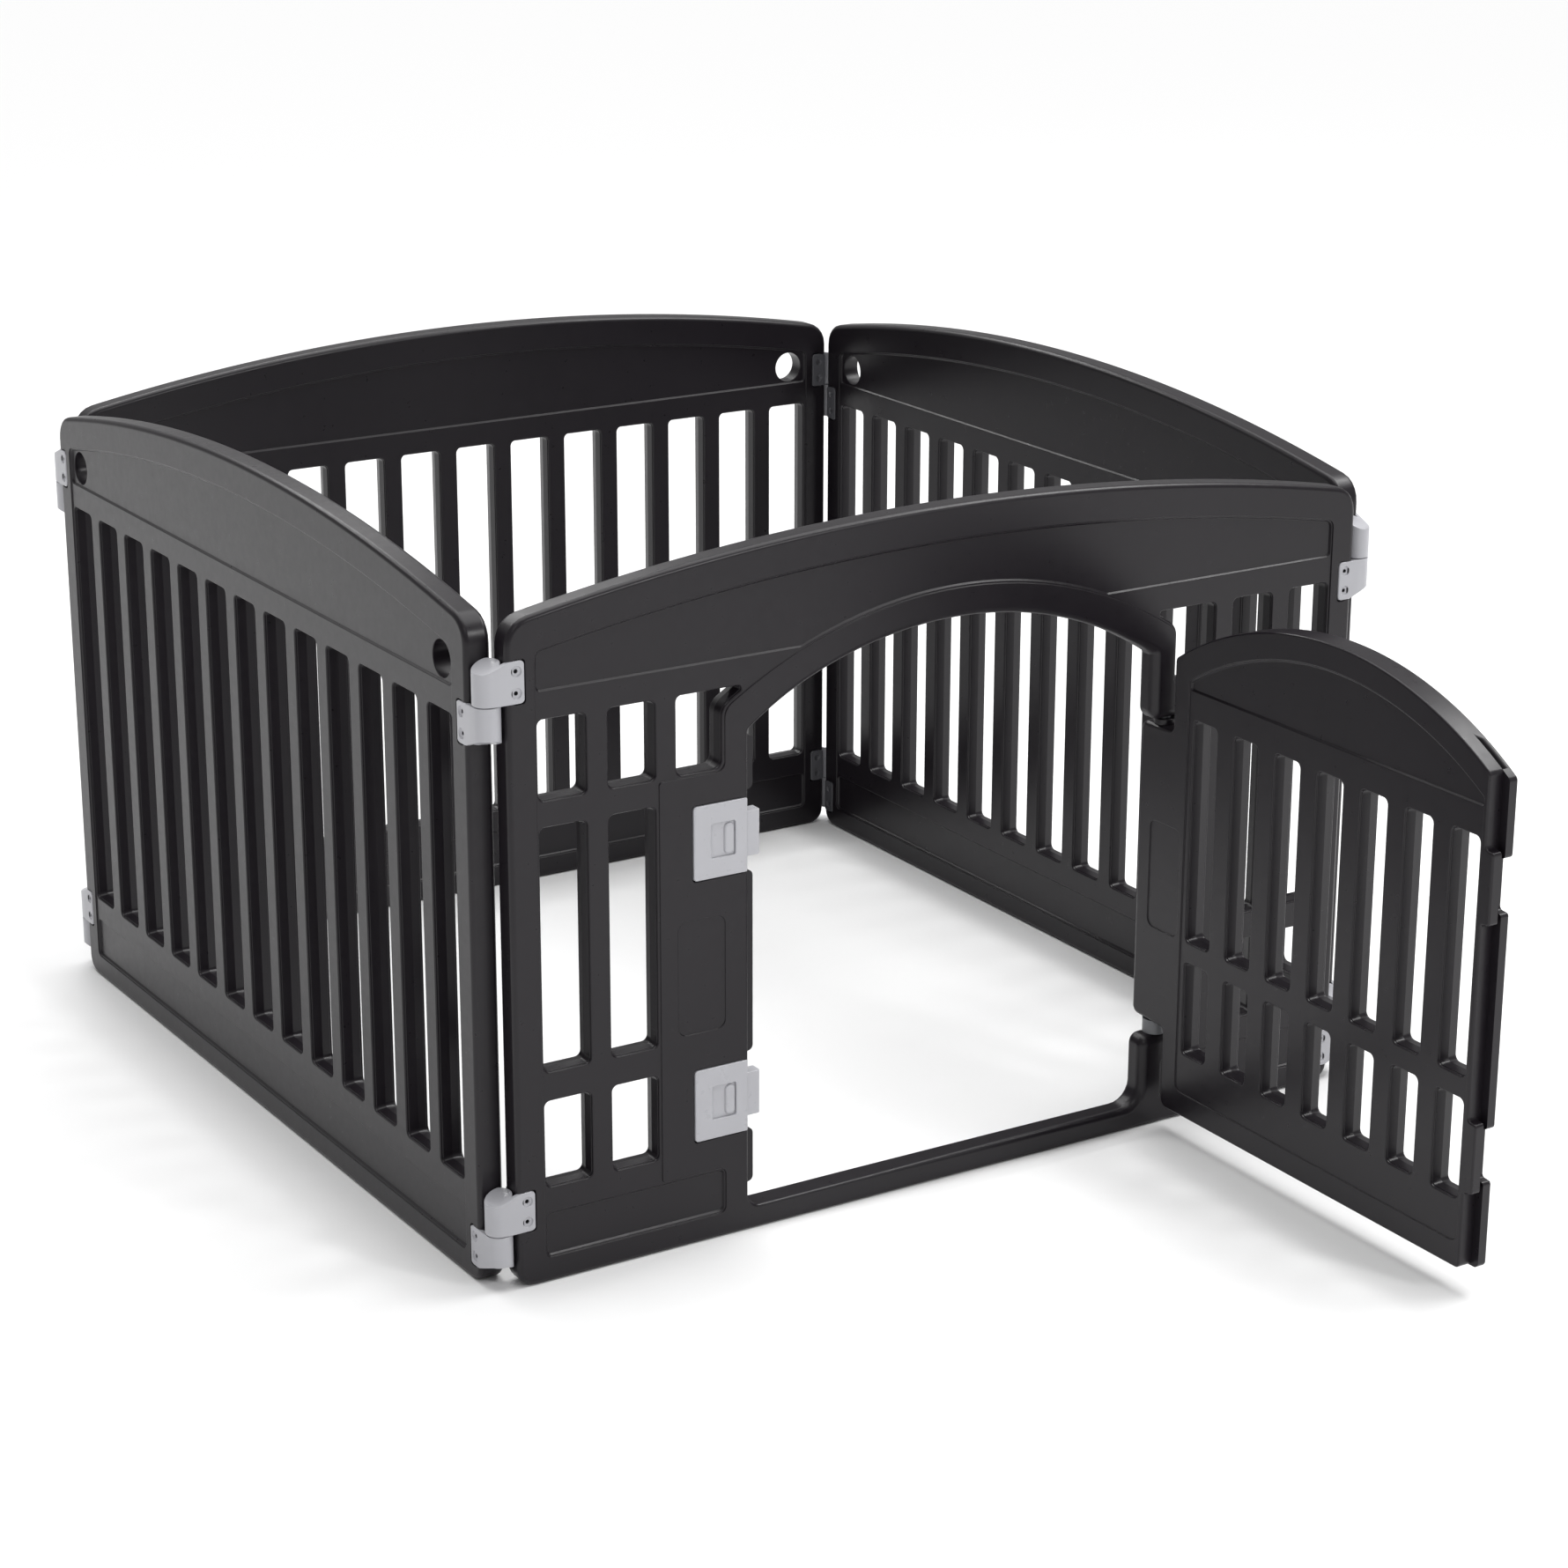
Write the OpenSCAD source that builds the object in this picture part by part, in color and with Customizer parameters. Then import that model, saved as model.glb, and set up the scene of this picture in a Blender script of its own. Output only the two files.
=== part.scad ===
// Four-panel folding pet playpen with an arched door.
// Millimetres, +Z up. The origin is the middle of the front panel's bottom face, X runs along
// the front panel and +Y points into the pen. The pen stands square, with the door open.

/* [Pen] */
// Distance between the outer faces of two opposite panels
pen_size = 900; // [800:10:1100]
// Thickness of a panel
panel_t = 23; // [20:0.5:26]
// Height of a panel at the middle of its arched top
crown_h = 607; // [580:1:660]
// Rise of the arched top between a corner and the middle
crown_rise = 37; // [20:1:60]
// Gap between a hinge axis and the end of the panel
end_gap = 12; // [12:0.1:14]

/* [Grille] */
// Number of openings in a plain panel
slot_count = 13; // [9:2:17]
// Width of an opening
slot_w = 44; // [30:1:50]
// Height of the lower edge of the openings
slot_bottom = 84; // [70:1:100]
// Height of the upper edge of the openings
slot_top = 483.6; // [460:0.2:490]
// Width of the plain border beside the openings
border_w = 27; // [24:1:30]
// Corner radius of an opening
slot_r = 5.5; // [3:0.5:8]

/* [Door] */
// Half width of the doorway
doorway_half = 207; // [190:1:215]
// Height of the doorway at the middle of its arch
doorway_h = 509; // [490:1:515]
// Radius of the doorway's arch
doorway_r = 366; // [340:1:400]
// Height of the door sill
sill_h = 20.8; // [16:0.2:24]
// Opening angle of the door as drawn, from closed
door_angle = 90; // [0:1:125]
// Number of opening columns in the door
door_columns = 7; // [5:1:7]

/* [Hinges] */
// Height of one moulded hinge half
hinge_h = 35; // [30:1:40]
// Height of the joint between the two halves of a lower hinge
hinge_low = 50; // [45:1:55]
// Height of the joint between the two halves of an upper hinge
hinge_high = 500; // [480:1:510]
// Length of a hinge leaf from the hinge axis
leaf_len = 28; // [26:1:32]
// Radius of a hinge pin
pin_r = 4; // [3:0.5:5]

/* [Latches] */
// Height of the middle of the lower latch
latch_low = 124.5; // [110:0.5:140]
// Height of the middle of the upper latch
latch_high = 355.5; // [330:0.5:370]
// Width of a latch cover
latch_w = 51; // [45:1:55]
// Height of a latch cover
latch_h = 64; // [56:1:70]
// Height of a latch bolt
bolt_h = 39; // [30:1:44]
// Length of bolt that stands out of the door jamb
bolt_throw = 12.5; // [10:0.5:14]

/* [Hidden] */
$fn = 48;

// Pen layout
axis_half = (pen_size - panel_t) / 2;
panel_w = 2 * (axis_half - end_gap);
half_t = panel_t / 2;
edge_r = 5;
corner_r_top = 24;
corner_r_bottom = 16;
crown_r = (pow(panel_w / 2 - corner_r_top, 2) + pow(crown_rise, 2)) / (2 * crown_rise);
crown_cz = crown_h - crown_r;

// Grille layout
field_half = panel_w / 2 - border_w;
slot_pitch = (2 * field_half - slot_w) / (slot_count - 1);
field_d = 1.2;
recess_d = 2.6;
field_lip = 1.6;
header_bottom = 507;
header_margin = 30;
header_corner_r = 8;
kick_bottom = 22;
kick_top = 61;
kick_corner_r = 6;
hole_r = 16;
hole_x = 380;
hole_z = 527;

// Front lattice: the two outer columns have three rows, the third has only the top row
row_low = [slot_bottom, 160];
row_mid = [185, 394];
row_high = [416, slot_top];
lattice_columns = 3;
jamb_edge = 291.2;
jamb_top = 414.5;
slot_under_arch = 205;

// Doorway
doorway_cz = doorway_h - doorway_r;
doorway_corner_r = 12;
band_r = 412;
band_h = 535.5;
band_half = 229;
stop_t = 13.5;
stop_w = 10;
stop_cut_h = 70;
stop_top = 440;

// Door pivot, in a gap of the right jamb
pivot_x = 229.5;
pivot_gap_end = 256;
pivot_gap_low = 86;
pivot_gap_high = 384;
pivot_pin_r = 5;
pivot_seat = 12;
collar_r = 11;

// Door leaf, described closed
door_gap = 4;
door_arch_gap = 2.5;
door_half = doorway_half - door_gap;
door_bottom = 25;
door_field_l = -187.5;
door_field_r = 177;
door_slot_w = 33.5;
door_pitch = (door_field_r - door_field_l - door_slot_w) / (door_columns - 1);
door_rows = [[slot_bottom, 171.5], [190.5, 395]];
door_panel_z = 421;
door_panel_half = 186.7;
door_panel_x = -3.7;
door_panel_margin = 22;
door_panel_bottom = 47;
tab_half = 20.5;
tab_low = 99.5;
tab_high = 377.5;
door_lip_d = 9;
door_core_edge = 195;
tongue_edge = 204.5;
tongue_t = 9;
tongue_h = 62;
notch_edge = 192;
notch_h = 46;

// Hinges
barrel_r = half_t;
leaf_t = 4;
halves_gap = 0.6;
leaf_corner_r = 4;
ramp_h = 7.5;
ramp_start = 8;
ramp_run = 20;
screw_x = 20.8;
screw_dz = 9;
screw_r = 2;
screw_head_r = 3.2;
screw_head_h = 2;
screw_sink = 0.6;
screw_clear = 0.3;
ring_w = 1.2;
backing_t = 3;
backing_w = 16;
pin_clear = 0.08;
pin_depth = 24;
pin_end_gap = 1.5;

// Latches
latch_face = 1;
latch_cover_t = 2;
cover_boss_r = 4;
cover_boss_h = 3;
latch_edge_x = -208;
pocket_gap = 0.5;
bolt_t = 12;
bolt_len = 50;
bolt_clear = 0.4;
bolt_bevel = 2.4;
cover_back = -half_t - latch_face + latch_cover_t;
bolt_back = cover_back + bolt_t + bolt_clear / 2;
bolt_pocket_x = latch_edge_x - latch_w + 1.5;
latch_reach = 10;
thumb_x = -230;
thumb_w = 8;
thumb_h = 33;
window_x = [-35, -11];
latch_screw_dz = 26;

// ---- outlines, drawn in X and Z ----

// Points of an arc about (cx, cz), from angle a0 to angle a1
function arc(cx, cz, r, a0, a1, n = 8) =
    [for (i = [0:n]) [cx + r * cos(a0 + (a1 - a0) * i / n), cz + r * sin(a0 + (a1 - a0) * i / n)]];

function rounded_box(x0, z0, x1, z1, r) = concat(
    arc(x0 + r, z0 + r, r, 180, 270), arc(x1 - r, z0 + r, r, 270, 360),
    arc(x1 - r, z1 - r, r, 0, 90), arc(x0 + r, z1 - r, r, 90, 180));

// A straight-sided outline under an arc of radius big_r about (0, big_cz)
function arched_outline(half, bottom, big_r, big_cz, r_top, r_bottom, n = 32) =
    let (
        corner_cx = half - r_top,
        lean = asin(corner_cx / (big_r - r_top)),
        corner_cz = big_cz + (big_r - r_top) * cos(lean)
    )
    concat(
        arc(-half + r_bottom, bottom + r_bottom, r_bottom, 180, 270),
        arc(half - r_bottom, bottom + r_bottom, r_bottom, 270, 360),
        arc(corner_cx, corner_cz, r_top, 0, 90 - lean),
        arc(0, big_cz, big_r, 90 - lean, 90 + lean, n),
        arc(-corner_cx, corner_cz, r_top, 90 + lean, 180));

// Extrudes an X-Z outline through the thickness, from y0 to y1
module through(y0, y1) {
    translate([0, y1, 0]) rotate([90, 0, 0]) linear_extrude(y1 - y0) children();
}

// ---- panels ----

// Turns a piece drawn on the front panel's line to one of the four sides of the pen
module on_side(angle) {
    translate([0, axis_half, 0]) rotate([0, 0, angle]) translate([0, -axis_half, 0]) children();
}

// The solid panel: arched outline, with its upright edges rounded
module panel_blank() {
    intersection() {
        through(-half_t, half_t)
            polygon(arched_outline(panel_w / 2, 0, crown_r, crown_cz, corner_r_top, corner_r_bottom));
        linear_extrude(crown_h + 1)
            polygon(rounded_box(-panel_w / 2, -half_t, panel_w / 2, half_t, edge_r));
    }
}

// Everything inside a plain panel's border
module field_outline() {
    polygon(arched_outline(field_half + field_lip, kick_bottom, crown_r - header_margin, crown_cz,
        header_corner_r, kick_corner_r));
}

// Sinks an outline by a depth into the outer face and the inner face
module both_faces(depth) {
    through(-half_t - 1, -half_t + depth) children();
    through(half_t - depth, half_t + 1) children();
}

// The field lies a little lower than the border, and the header and kick panels lower still
module sunk_fields() {
    both_faces(field_d) children();
    both_faces(recess_d) intersection() {
        children();
        union() {
            translate([-panel_w / 2, header_bottom]) square([panel_w, crown_h]);
            translate([-panel_w / 2, 0]) square([panel_w, kick_top]);
        }
    }
}

// Pockets, in both faces, that hold the hinge leaves and their backing plates
module hinge_pockets() {
    for (split = [hinge_low, hinge_high])
        for (side = [-1, 1]) {
            z0 = side < 0 ? split + halves_gap / 2 : split - halves_gap / 2 - hinge_h;
            outer_x = side * (panel_w / 2 + 1);
            inner_x = side * (axis_half - leaf_len);
            translate([min(outer_x, inner_x), -half_t - 1, z0])
                cube([abs(outer_x - inner_x), leaf_t + 1, hinge_h]);
            translate([side * (axis_half - screw_x) - backing_w / 2, half_t - backing_t, z0])
                cube([backing_w, backing_t + 1, hinge_h]);
            for (dz = [-screw_dz, screw_dz])
                translate([side * (axis_half - screw_x), half_t, z0 + hinge_h / 2 + dz])
                    rotate([90, 0, 0]) cylinder(r = screw_r + screw_clear, h = panel_t);
        }
}

module plain_panel() {
    difference() {
        panel_blank();
        through(-half_t - 1, half_t + 1)
            for (i = [0:slot_count - 1]) {
                x = -field_half + i * slot_pitch;
                polygon(rounded_box(x, slot_bottom, x + slot_w, slot_top, slot_r));
            }
        sunk_fields() field_outline();
        for (side = [-1, 1])
            translate([side * hole_x, half_t + 1, hole_z])
                rotate([90, 0, 0]) cylinder(r = hole_r, h = panel_t + 2);
        hinge_pockets();
    }
}

// ---- front frame ----

// The raised band that runs round the doorway's arch and down both of its sides
module band_outline() {
    polygon(arched_outline(band_half, 0, band_r, band_h - band_r, 14, 2));
}

module doorway_outline() {
    polygon(arched_outline(doorway_half, sill_h, doorway_r, doorway_cz, 3, doorway_corner_r));
}

// The front's field leaves the band, the jambs and the doorway's surround standing
module front_field_outline() {
    difference() {
        field_outline();
        band_outline();
        translate([-jamb_edge, kick_top]) square([2 * jamb_edge, jamb_top - kick_top]);
        translate([-band_half, 0]) square([2 * band_half, kick_top + 1]);
    }
}

module lattice_outline() {
    for (side = [-1, 1])
        for (column = [0:lattice_columns - 1])
            for (row = column < 2 ? [row_low, row_mid, row_high] : [row_high]) {
                outer = field_half - column * slot_pitch;
                inner = column < 2 ? outer - slot_w : slot_under_arch;
                x0 = side < 0 ? -outer : inner;
                polygon(rounded_box(x0, row[0], x0 + outer - inner, row[1], slot_r));
            }
}

// The gap in the right jamb where the door's pivot tab turns
module pivot_gap_outline() {
    polygon(rounded_box(doorway_half - 20, pivot_gap_low, pivot_gap_end, pivot_gap_high, 4));
}

// A thin flange along the back of the latch jamb, which the closed door rests against
module door_stop() {
    through(half_t - stop_t, half_t)
        difference() {
            polygon(rounded_box(-doorway_half - 5, sill_h + 2, -doorway_half + stop_w, stop_top, 4));
            for (z = [latch_low, latch_high])
                translate([-doorway_half, z - stop_cut_h / 2]) square([stop_w + 1, stop_cut_h]);
        }
}

// Pockets in the latch jamb: a shallow one for each cover, a deep one for its bolt, and the
// bores for the cover's bosses and the screws that hold it from behind
module latch_pockets() {
    for (z = [latch_low, latch_high]) {
        translate([latch_edge_x - latch_w - pocket_gap, -half_t - 1, z - latch_h / 2 - pocket_gap])
            cube([latch_w + latch_reach, cover_back + half_t + 1, latch_h + 2 * pocket_gap]);
        translate([bolt_pocket_x, -half_t - 1, z - bolt_h / 2 - bolt_clear])
            cube([latch_edge_x + latch_reach - bolt_pocket_x, bolt_back + pocket_gap + half_t + 1,
                bolt_h + 2 * bolt_clear]);
        for (side = [-1, 1])
            translate([latch_edge_x - latch_w / 2, 0, z + side * latch_screw_dz]) {
                through(-half_t, cover_back + cover_boss_h + pocket_gap)
                    circle(r = cover_boss_r + pocket_gap);
                through(-half_t, half_t + 1) circle(r = screw_r + screw_clear);
                through(half_t - 1 - screw_head_h, half_t + 1) circle(r = screw_head_r + screw_clear);
            }
    }
}

module front_frame() color("#2b2b2e") {
    difference() {
        union() {
            difference() {
                panel_blank();
                sunk_fields() front_field_outline();
                through(-half_t - 1, half_t + 1) difference() {
                    lattice_outline();
                    band_outline();
                }
                through(-half_t - 1, half_t + 1) {
                    doorway_outline();
                    pivot_gap_outline();
                }
            }
            door_stop();
        }
        hinge_pockets();
        latch_pockets();
        translate([pivot_x, 0, pivot_gap_low - pivot_seat])
            cylinder(r = pivot_pin_r, h = pivot_seat + 1);
        translate([pivot_x, 0, pivot_gap_high - 1])
            cylinder(r = pivot_pin_r, h = pivot_seat + 1);
    }
}

module left_panel() color("#2b2b2e") on_side(-90) plain_panel();

module back_panel() color("#2b2b2e") on_side(180) plain_panel();

module right_panel() color("#2b2b2e") on_side(90) plain_panel();

// ---- door ----

// Swings a piece that is drawn closed to the door's opening angle
module swung() {
    translate([pivot_x, 0, 0]) rotate([0, 0, door_angle]) translate([-pivot_x, 0, 0]) children();
}

module door_outline(edge) {
    intersection() {
        polygon(arched_outline(door_half, door_bottom, doorway_r - door_arch_gap, doorway_cz, 5, 8));
        translate([-edge, 0]) square([edge + doorway_half, crown_h]);
    }
}

// Everything inside the door's border
module door_field_outline() {
    polygon(arched_outline(door_panel_half, door_panel_bottom,
        doorway_r - door_arch_gap - door_panel_margin, doorway_cz, 3, 8));
}

module door_slots() {
    for (i = [0:door_columns - 1])
        for (row = door_rows) {
            x = door_field_l + i * door_pitch;
            polygon(rounded_box(x, row[0], x + door_slot_w, row[1], slot_r));
        }
}

// The notches in the free edge that the latch bolts stand in
module bolt_notches() {
    for (z = [latch_low, latch_high])
        translate([-door_half - 1, z - notch_h / 2]) square([door_half + 1 - notch_edge, notch_h]);
}

module door() color("#2b2b2e") swung() difference() {
    union() {
        through(-half_t, -half_t + door_lip_d) difference() {
            door_outline(door_half);
            bolt_notches();
        }
        through(-half_t + door_lip_d, half_t - tongue_t) difference() {
            door_outline(door_core_edge);
            bolt_notches();
        }
        through(half_t - tongue_t, half_t) {
            door_outline(door_core_edge);
            for (z = [latch_low, latch_high])
                polygon(rounded_box(-tongue_edge, z - tongue_h / 2, door_field_l + 10,
                    z + tongue_h / 2, 3));
        }
        intersection() {
            through(-half_t, half_t)
                polygon(rounded_box(door_half - 15, tab_low, pivot_x + tab_half, tab_high, 8));
            linear_extrude(crown_h)
                polygon(rounded_box(0, -half_t, pivot_x + tab_half, half_t, edge_r));
        }
    }
    through(-half_t - 1, half_t + 1) door_slots();
    both_faces(field_d) translate([door_panel_x, 0]) door_field_outline();
    both_faces(recess_d) intersection() {
        translate([door_panel_x, 0]) door_field_outline();
        translate([-doorway_half, door_panel_z]) square([2 * doorway_half, crown_h]);
    }
    for (z = [tab_low - 1, tab_high - pivot_seat - 1])
        translate([pivot_x, 0, z]) cylinder(r = pivot_pin_r + pin_clear, h = pivot_seat + 2);
}

// A pin that is pressed into the frame and turns in the door
module pivot_pin(z0, z1) {
    translate([pivot_x, 0, z0]) cylinder(r = pivot_pin_r, h = z1 - z0);
}

module door_pivot_pin_upper() color("#8d8f93")
    pivot_pin(tab_high - pivot_seat, pivot_gap_high + pivot_seat);

module door_pivot_pin_lower() color("#8d8f93")
    pivot_pin(pivot_gap_low - pivot_seat, tab_low + pivot_seat);

module door_pivot_collar() color("#6b6c6f") translate([pivot_x, 0, pivot_gap_low]) difference() {
    cylinder(r = collar_r, h = tab_low - pivot_gap_low - pocket_gap);
    translate([0, 0, -1]) cylinder(r = pivot_pin_r, h = tab_low - pivot_gap_low + 2);
}

// ---- corner hinges ----
// A half is drawn about its own hinge axis, with its leaf along +X on the outer face of the
// panel, from its joint plane at z = 0 upwards. Its pin or socket opens at z = 0.

module hinge_half_body() {
    difference() {
        union() {
            cylinder(r = barrel_r, h = hinge_h);
            translate([0, -half_t, 0]) cube([leaf_len / 2, leaf_t, hinge_h]);
            translate([0, -half_t + leaf_t, 0]) rotate([90, 0, 0])
                linear_extrude(leaf_t)
                    polygon(rounded_box(leaf_corner_r, 0, leaf_len, hinge_h, leaf_corner_r));
            for (dz = [-screw_dz, screw_dz])
                translate([screw_x, -half_t, hinge_h / 2 + dz]) rotate([90, 0, 0])
                    cylinder(r = screw_head_r + ring_w, h = screw_sink);
        }
        // the end of the barrel slopes away from the leaf
        translate([0, half_t + 1, hinge_h]) rotate([90, 0, 0]) linear_extrude(panel_t + 2)
            polygon([[ramp_start, 0], [ramp_start - ramp_run, -ramp_h],
                [ramp_start - ramp_run, 1], [ramp_start, 1]]);
        for (dz = [-screw_dz, screw_dz])
            translate([screw_x, -half_t - screw_sink - 1, hinge_h / 2 + dz]) rotate([-90, 0, 0]) {
                cylinder(r = screw_r, h = panel_t);
                cylinder(r = screw_head_r, h = screw_head_h + screw_sink + 1);
            }
    }
}

module pin_half() {
    difference() {
        hinge_half_body();
        translate([0, 0, -1]) cylinder(r = pin_r, h = pin_depth + 1);
    }
}

module socket_half() {
    difference() {
        hinge_half_body();
        translate([0, 0, -1]) cylinder(r = pin_r + pin_clear, h = pin_depth + 1);
    }
}

// The pin half hangs above the joint at the panel's left end
module place_pin_half(split) {
    translate([-axis_half, 0, split + halves_gap / 2]) children();
}

// The socket half is the same form turned upside down at the panel's right end
module place_socket_half(split) {
    translate([axis_half, 0, split - halves_gap / 2]) rotate([0, 180, 0]) children();
}

module corner_pin_half(angle, split) color("#b9b9be") on_side(angle)
    place_pin_half(split) pin_half();

module corner_socket_half(angle, split) color("#b9b9be") on_side(angle)
    place_socket_half(split) socket_half();

// Two steel pins, pressed into the pin halves of one panel and hanging in the next panel's
// socket halves
module hinge_pins(angle) color("#8d8f93") on_side(angle)
    for (split = [hinge_low, hinge_high])
        translate([-axis_half, 0, split - halves_gap / 2 - pin_depth + pin_end_gap])
            cylinder(r = pin_r, h = 2 * pin_depth + halves_gap - pin_end_gap);

// Repeats its child midway between the two screws of each of a panel's four leaves
module each_leaf() {
    for (split = [hinge_low, hinge_high])
        for (side = [-1, 1])
            translate([side * (axis_half - screw_x), 0, split - side * (halves_gap + hinge_h) / 2])
                children();
}

module backing_plates(angle) color("#b9b9be") on_side(angle)
    each_leaf() difference() {
        through(half_t - backing_t, half_t)
            polygon(rounded_box(-backing_w / 2, -hinge_h / 2, backing_w / 2, hinge_h / 2, 2));
        for (dz = [-screw_dz, screw_dz])
            translate([0, half_t + 1, dz]) rotate([90, 0, 0])
                cylinder(r = screw_r, h = backing_t + 2);
    }

module leaf_screw() {
    rotate([-90, 0, 0]) difference() {
        union() {
            cylinder(r = screw_head_r, h = screw_head_h);
            cylinder(r = screw_r, h = panel_t);
        }
        for (turn = [0, 90])
            rotate([0, 0, turn]) translate([-screw_head_r / 2, -0.4, -1])
                cube([screw_head_r, 0.8, 2]);
    }
}

module hinge_screws(angle) color("#55565a") on_side(angle)
    each_leaf()
        for (dz = [-screw_dz, screw_dz])
            translate([0, -half_t, dz]) leaf_screw();

// ---- latches ----

module latch_cover(z) color("#b9b9be") translate([latch_edge_x, 0, z]) difference() {
    union() {
        through(-half_t - latch_face, cover_back) difference() {
            polygon(rounded_box(-latch_w, -latch_h / 2, 0, latch_h / 2, 3));
            polygon(rounded_box(window_x[0], -thumb_h / 2 - bolt_clear, window_x[1],
                thumb_h / 2 + bolt_clear, 1));
        }
        for (side = [-1, 1])
            translate([-latch_w / 2, 0, side * latch_screw_dz])
                through(cover_back - 0.5, cover_back + cover_boss_h) circle(r = cover_boss_r);
    }
    for (side = [-1, 1])
        translate([-latch_w / 2, 0, side * latch_screw_dz])
            through(cover_back - 0.5, cover_back + cover_boss_h + 1) circle(r = screw_r);
}

module latch_bolt(z) color("#b9b9be") translate([-doorway_half + bolt_throw, 0, z]) {
    difference() {
        translate([-bolt_len, bolt_back - bolt_t, -bolt_h / 2]) cube([bolt_len, bolt_t, bolt_h]);
        // the nose's outer edge is bevelled
        translate([0, bolt_back - bolt_t, 0]) rotate([0, 0, 45])
            cube([bolt_bevel, bolt_bevel, bolt_h + 2], center = true);
    }
    // the thumb rib stands in the cover's window
    translate([thumb_x + doorway_half - bolt_throw, -half_t - latch_face + bolt_clear, -thumb_h / 2])
        cube([thumb_w, latch_cover_t + 1, thumb_h]);
}

module latch_screws() color("#55565a")
    for (z = [latch_low, latch_high])
        for (side = [-1, 1])
            translate([latch_edge_x - latch_w / 2, 0, z + side * latch_screw_dz]) {
                through(half_t - 1 - screw_head_h, half_t - 1) circle(r = screw_head_r);
                through(cover_back, half_t - 1) circle(r = screw_r);
            }

front_frame();
left_panel();
back_panel();
right_panel();
door();
corner_pin_half(0, hinge_high);  // front_top_pin_half
corner_pin_half(0, hinge_low);  // front_bottom_pin_half
corner_socket_half(0, hinge_high);  // front_top_socket_half
corner_socket_half(0, hinge_low);  // front_bottom_socket_half
corner_pin_half(-90, hinge_high);  // left_top_pin_half
corner_pin_half(-90, hinge_low);  // left_bottom_pin_half
corner_socket_half(-90, hinge_high);  // left_top_socket_half
corner_socket_half(-90, hinge_low);  // left_bottom_socket_half
corner_pin_half(180, hinge_high);  // back_top_pin_half
corner_pin_half(180, hinge_low);  // back_bottom_pin_half
corner_socket_half(180, hinge_high);  // back_top_socket_half
corner_socket_half(180, hinge_low);  // back_bottom_socket_half
corner_pin_half(90, hinge_high);  // right_top_pin_half
corner_pin_half(90, hinge_low);  // right_bottom_pin_half
corner_socket_half(90, hinge_high);  // right_top_socket_half
corner_socket_half(90, hinge_low);  // right_bottom_socket_half
hinge_pins(0);  // front_hinge_pins
hinge_pins(-90);  // left_hinge_pins
hinge_pins(180);  // back_hinge_pins
hinge_pins(90);  // right_hinge_pins
backing_plates(0);  // front_backing_plates
backing_plates(-90);  // left_backing_plates
backing_plates(180);  // back_backing_plates
backing_plates(90);  // right_backing_plates
hinge_screws(0);  // front_hinge_screws
hinge_screws(-90);  // left_hinge_screws
hinge_screws(180);  // back_hinge_screws
hinge_screws(90);  // right_hinge_screws
latch_cover(latch_high);  // latch_cover_upper
latch_cover(latch_low);  // latch_cover_lower
latch_bolt(latch_high);  // latch_bolt_upper
latch_bolt(latch_low);  // latch_bolt_lower
latch_screws();
door_pivot_pin_upper();
door_pivot_pin_lower();
door_pivot_collar();
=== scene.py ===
"""Looks of the folding pet playpen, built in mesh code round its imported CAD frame.

Every size below is in millimetres and is turned into metres when a mesh is made. A panel is
drawn as outlines in X and Z on the front panel's line, and then turned to its side of the pen.
"""

import logging
import math
from dataclasses import dataclass, field
from enum import Enum
from typing import Callable, Iterable, Sequence

import bpy
from mathutils import Matrix, Vector
from mathutils.geometry import delaunay_2d_cdt


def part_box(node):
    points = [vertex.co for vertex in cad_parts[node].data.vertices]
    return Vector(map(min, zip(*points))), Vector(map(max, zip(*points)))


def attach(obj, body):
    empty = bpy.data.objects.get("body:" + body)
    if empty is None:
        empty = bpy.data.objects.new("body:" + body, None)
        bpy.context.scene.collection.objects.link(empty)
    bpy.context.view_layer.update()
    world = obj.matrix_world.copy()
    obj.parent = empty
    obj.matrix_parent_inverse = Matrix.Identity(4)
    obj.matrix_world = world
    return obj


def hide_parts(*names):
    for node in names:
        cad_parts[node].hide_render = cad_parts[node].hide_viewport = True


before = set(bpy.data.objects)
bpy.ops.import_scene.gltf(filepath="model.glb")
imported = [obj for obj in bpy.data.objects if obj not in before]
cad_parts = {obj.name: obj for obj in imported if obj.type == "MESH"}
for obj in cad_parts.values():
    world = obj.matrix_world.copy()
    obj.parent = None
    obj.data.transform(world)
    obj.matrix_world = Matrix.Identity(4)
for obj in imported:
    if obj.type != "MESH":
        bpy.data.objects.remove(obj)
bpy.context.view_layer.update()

LOG = logging.getLogger("playpen")
MM = 0.001
# The Mix node's colour sockets share their names with its others, so they go by number.
MIX_A, MIX_B, MIX_RESULT = 6, 7, 2
Point = tuple[float, float]
Corner = tuple[float, float, float]
TURN_STEPS = 6
CORNER_POINTS = TURN_STEPS + 1


# ---------------------------------------------------------------- outlines


def arc(cx: float, cz: float, radius: float, start: float, end: float,
        steps: int = TURN_STEPS) -> list[Point]:
    """Points of an arc about a centre.

    Args:
        cx, cz: The centre.
        radius: The radius.
        start, end: The first and last angle, in degrees.
        steps: How many straight pieces stand for the arc.

    Returns:
        The points, both ends included.
    """
    angles = [math.radians(start + (end - start) * i / steps) for i in range(steps + 1)]
    return [(cx + radius * math.cos(a), cz + radius * math.sin(a)) for a in angles]


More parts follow.
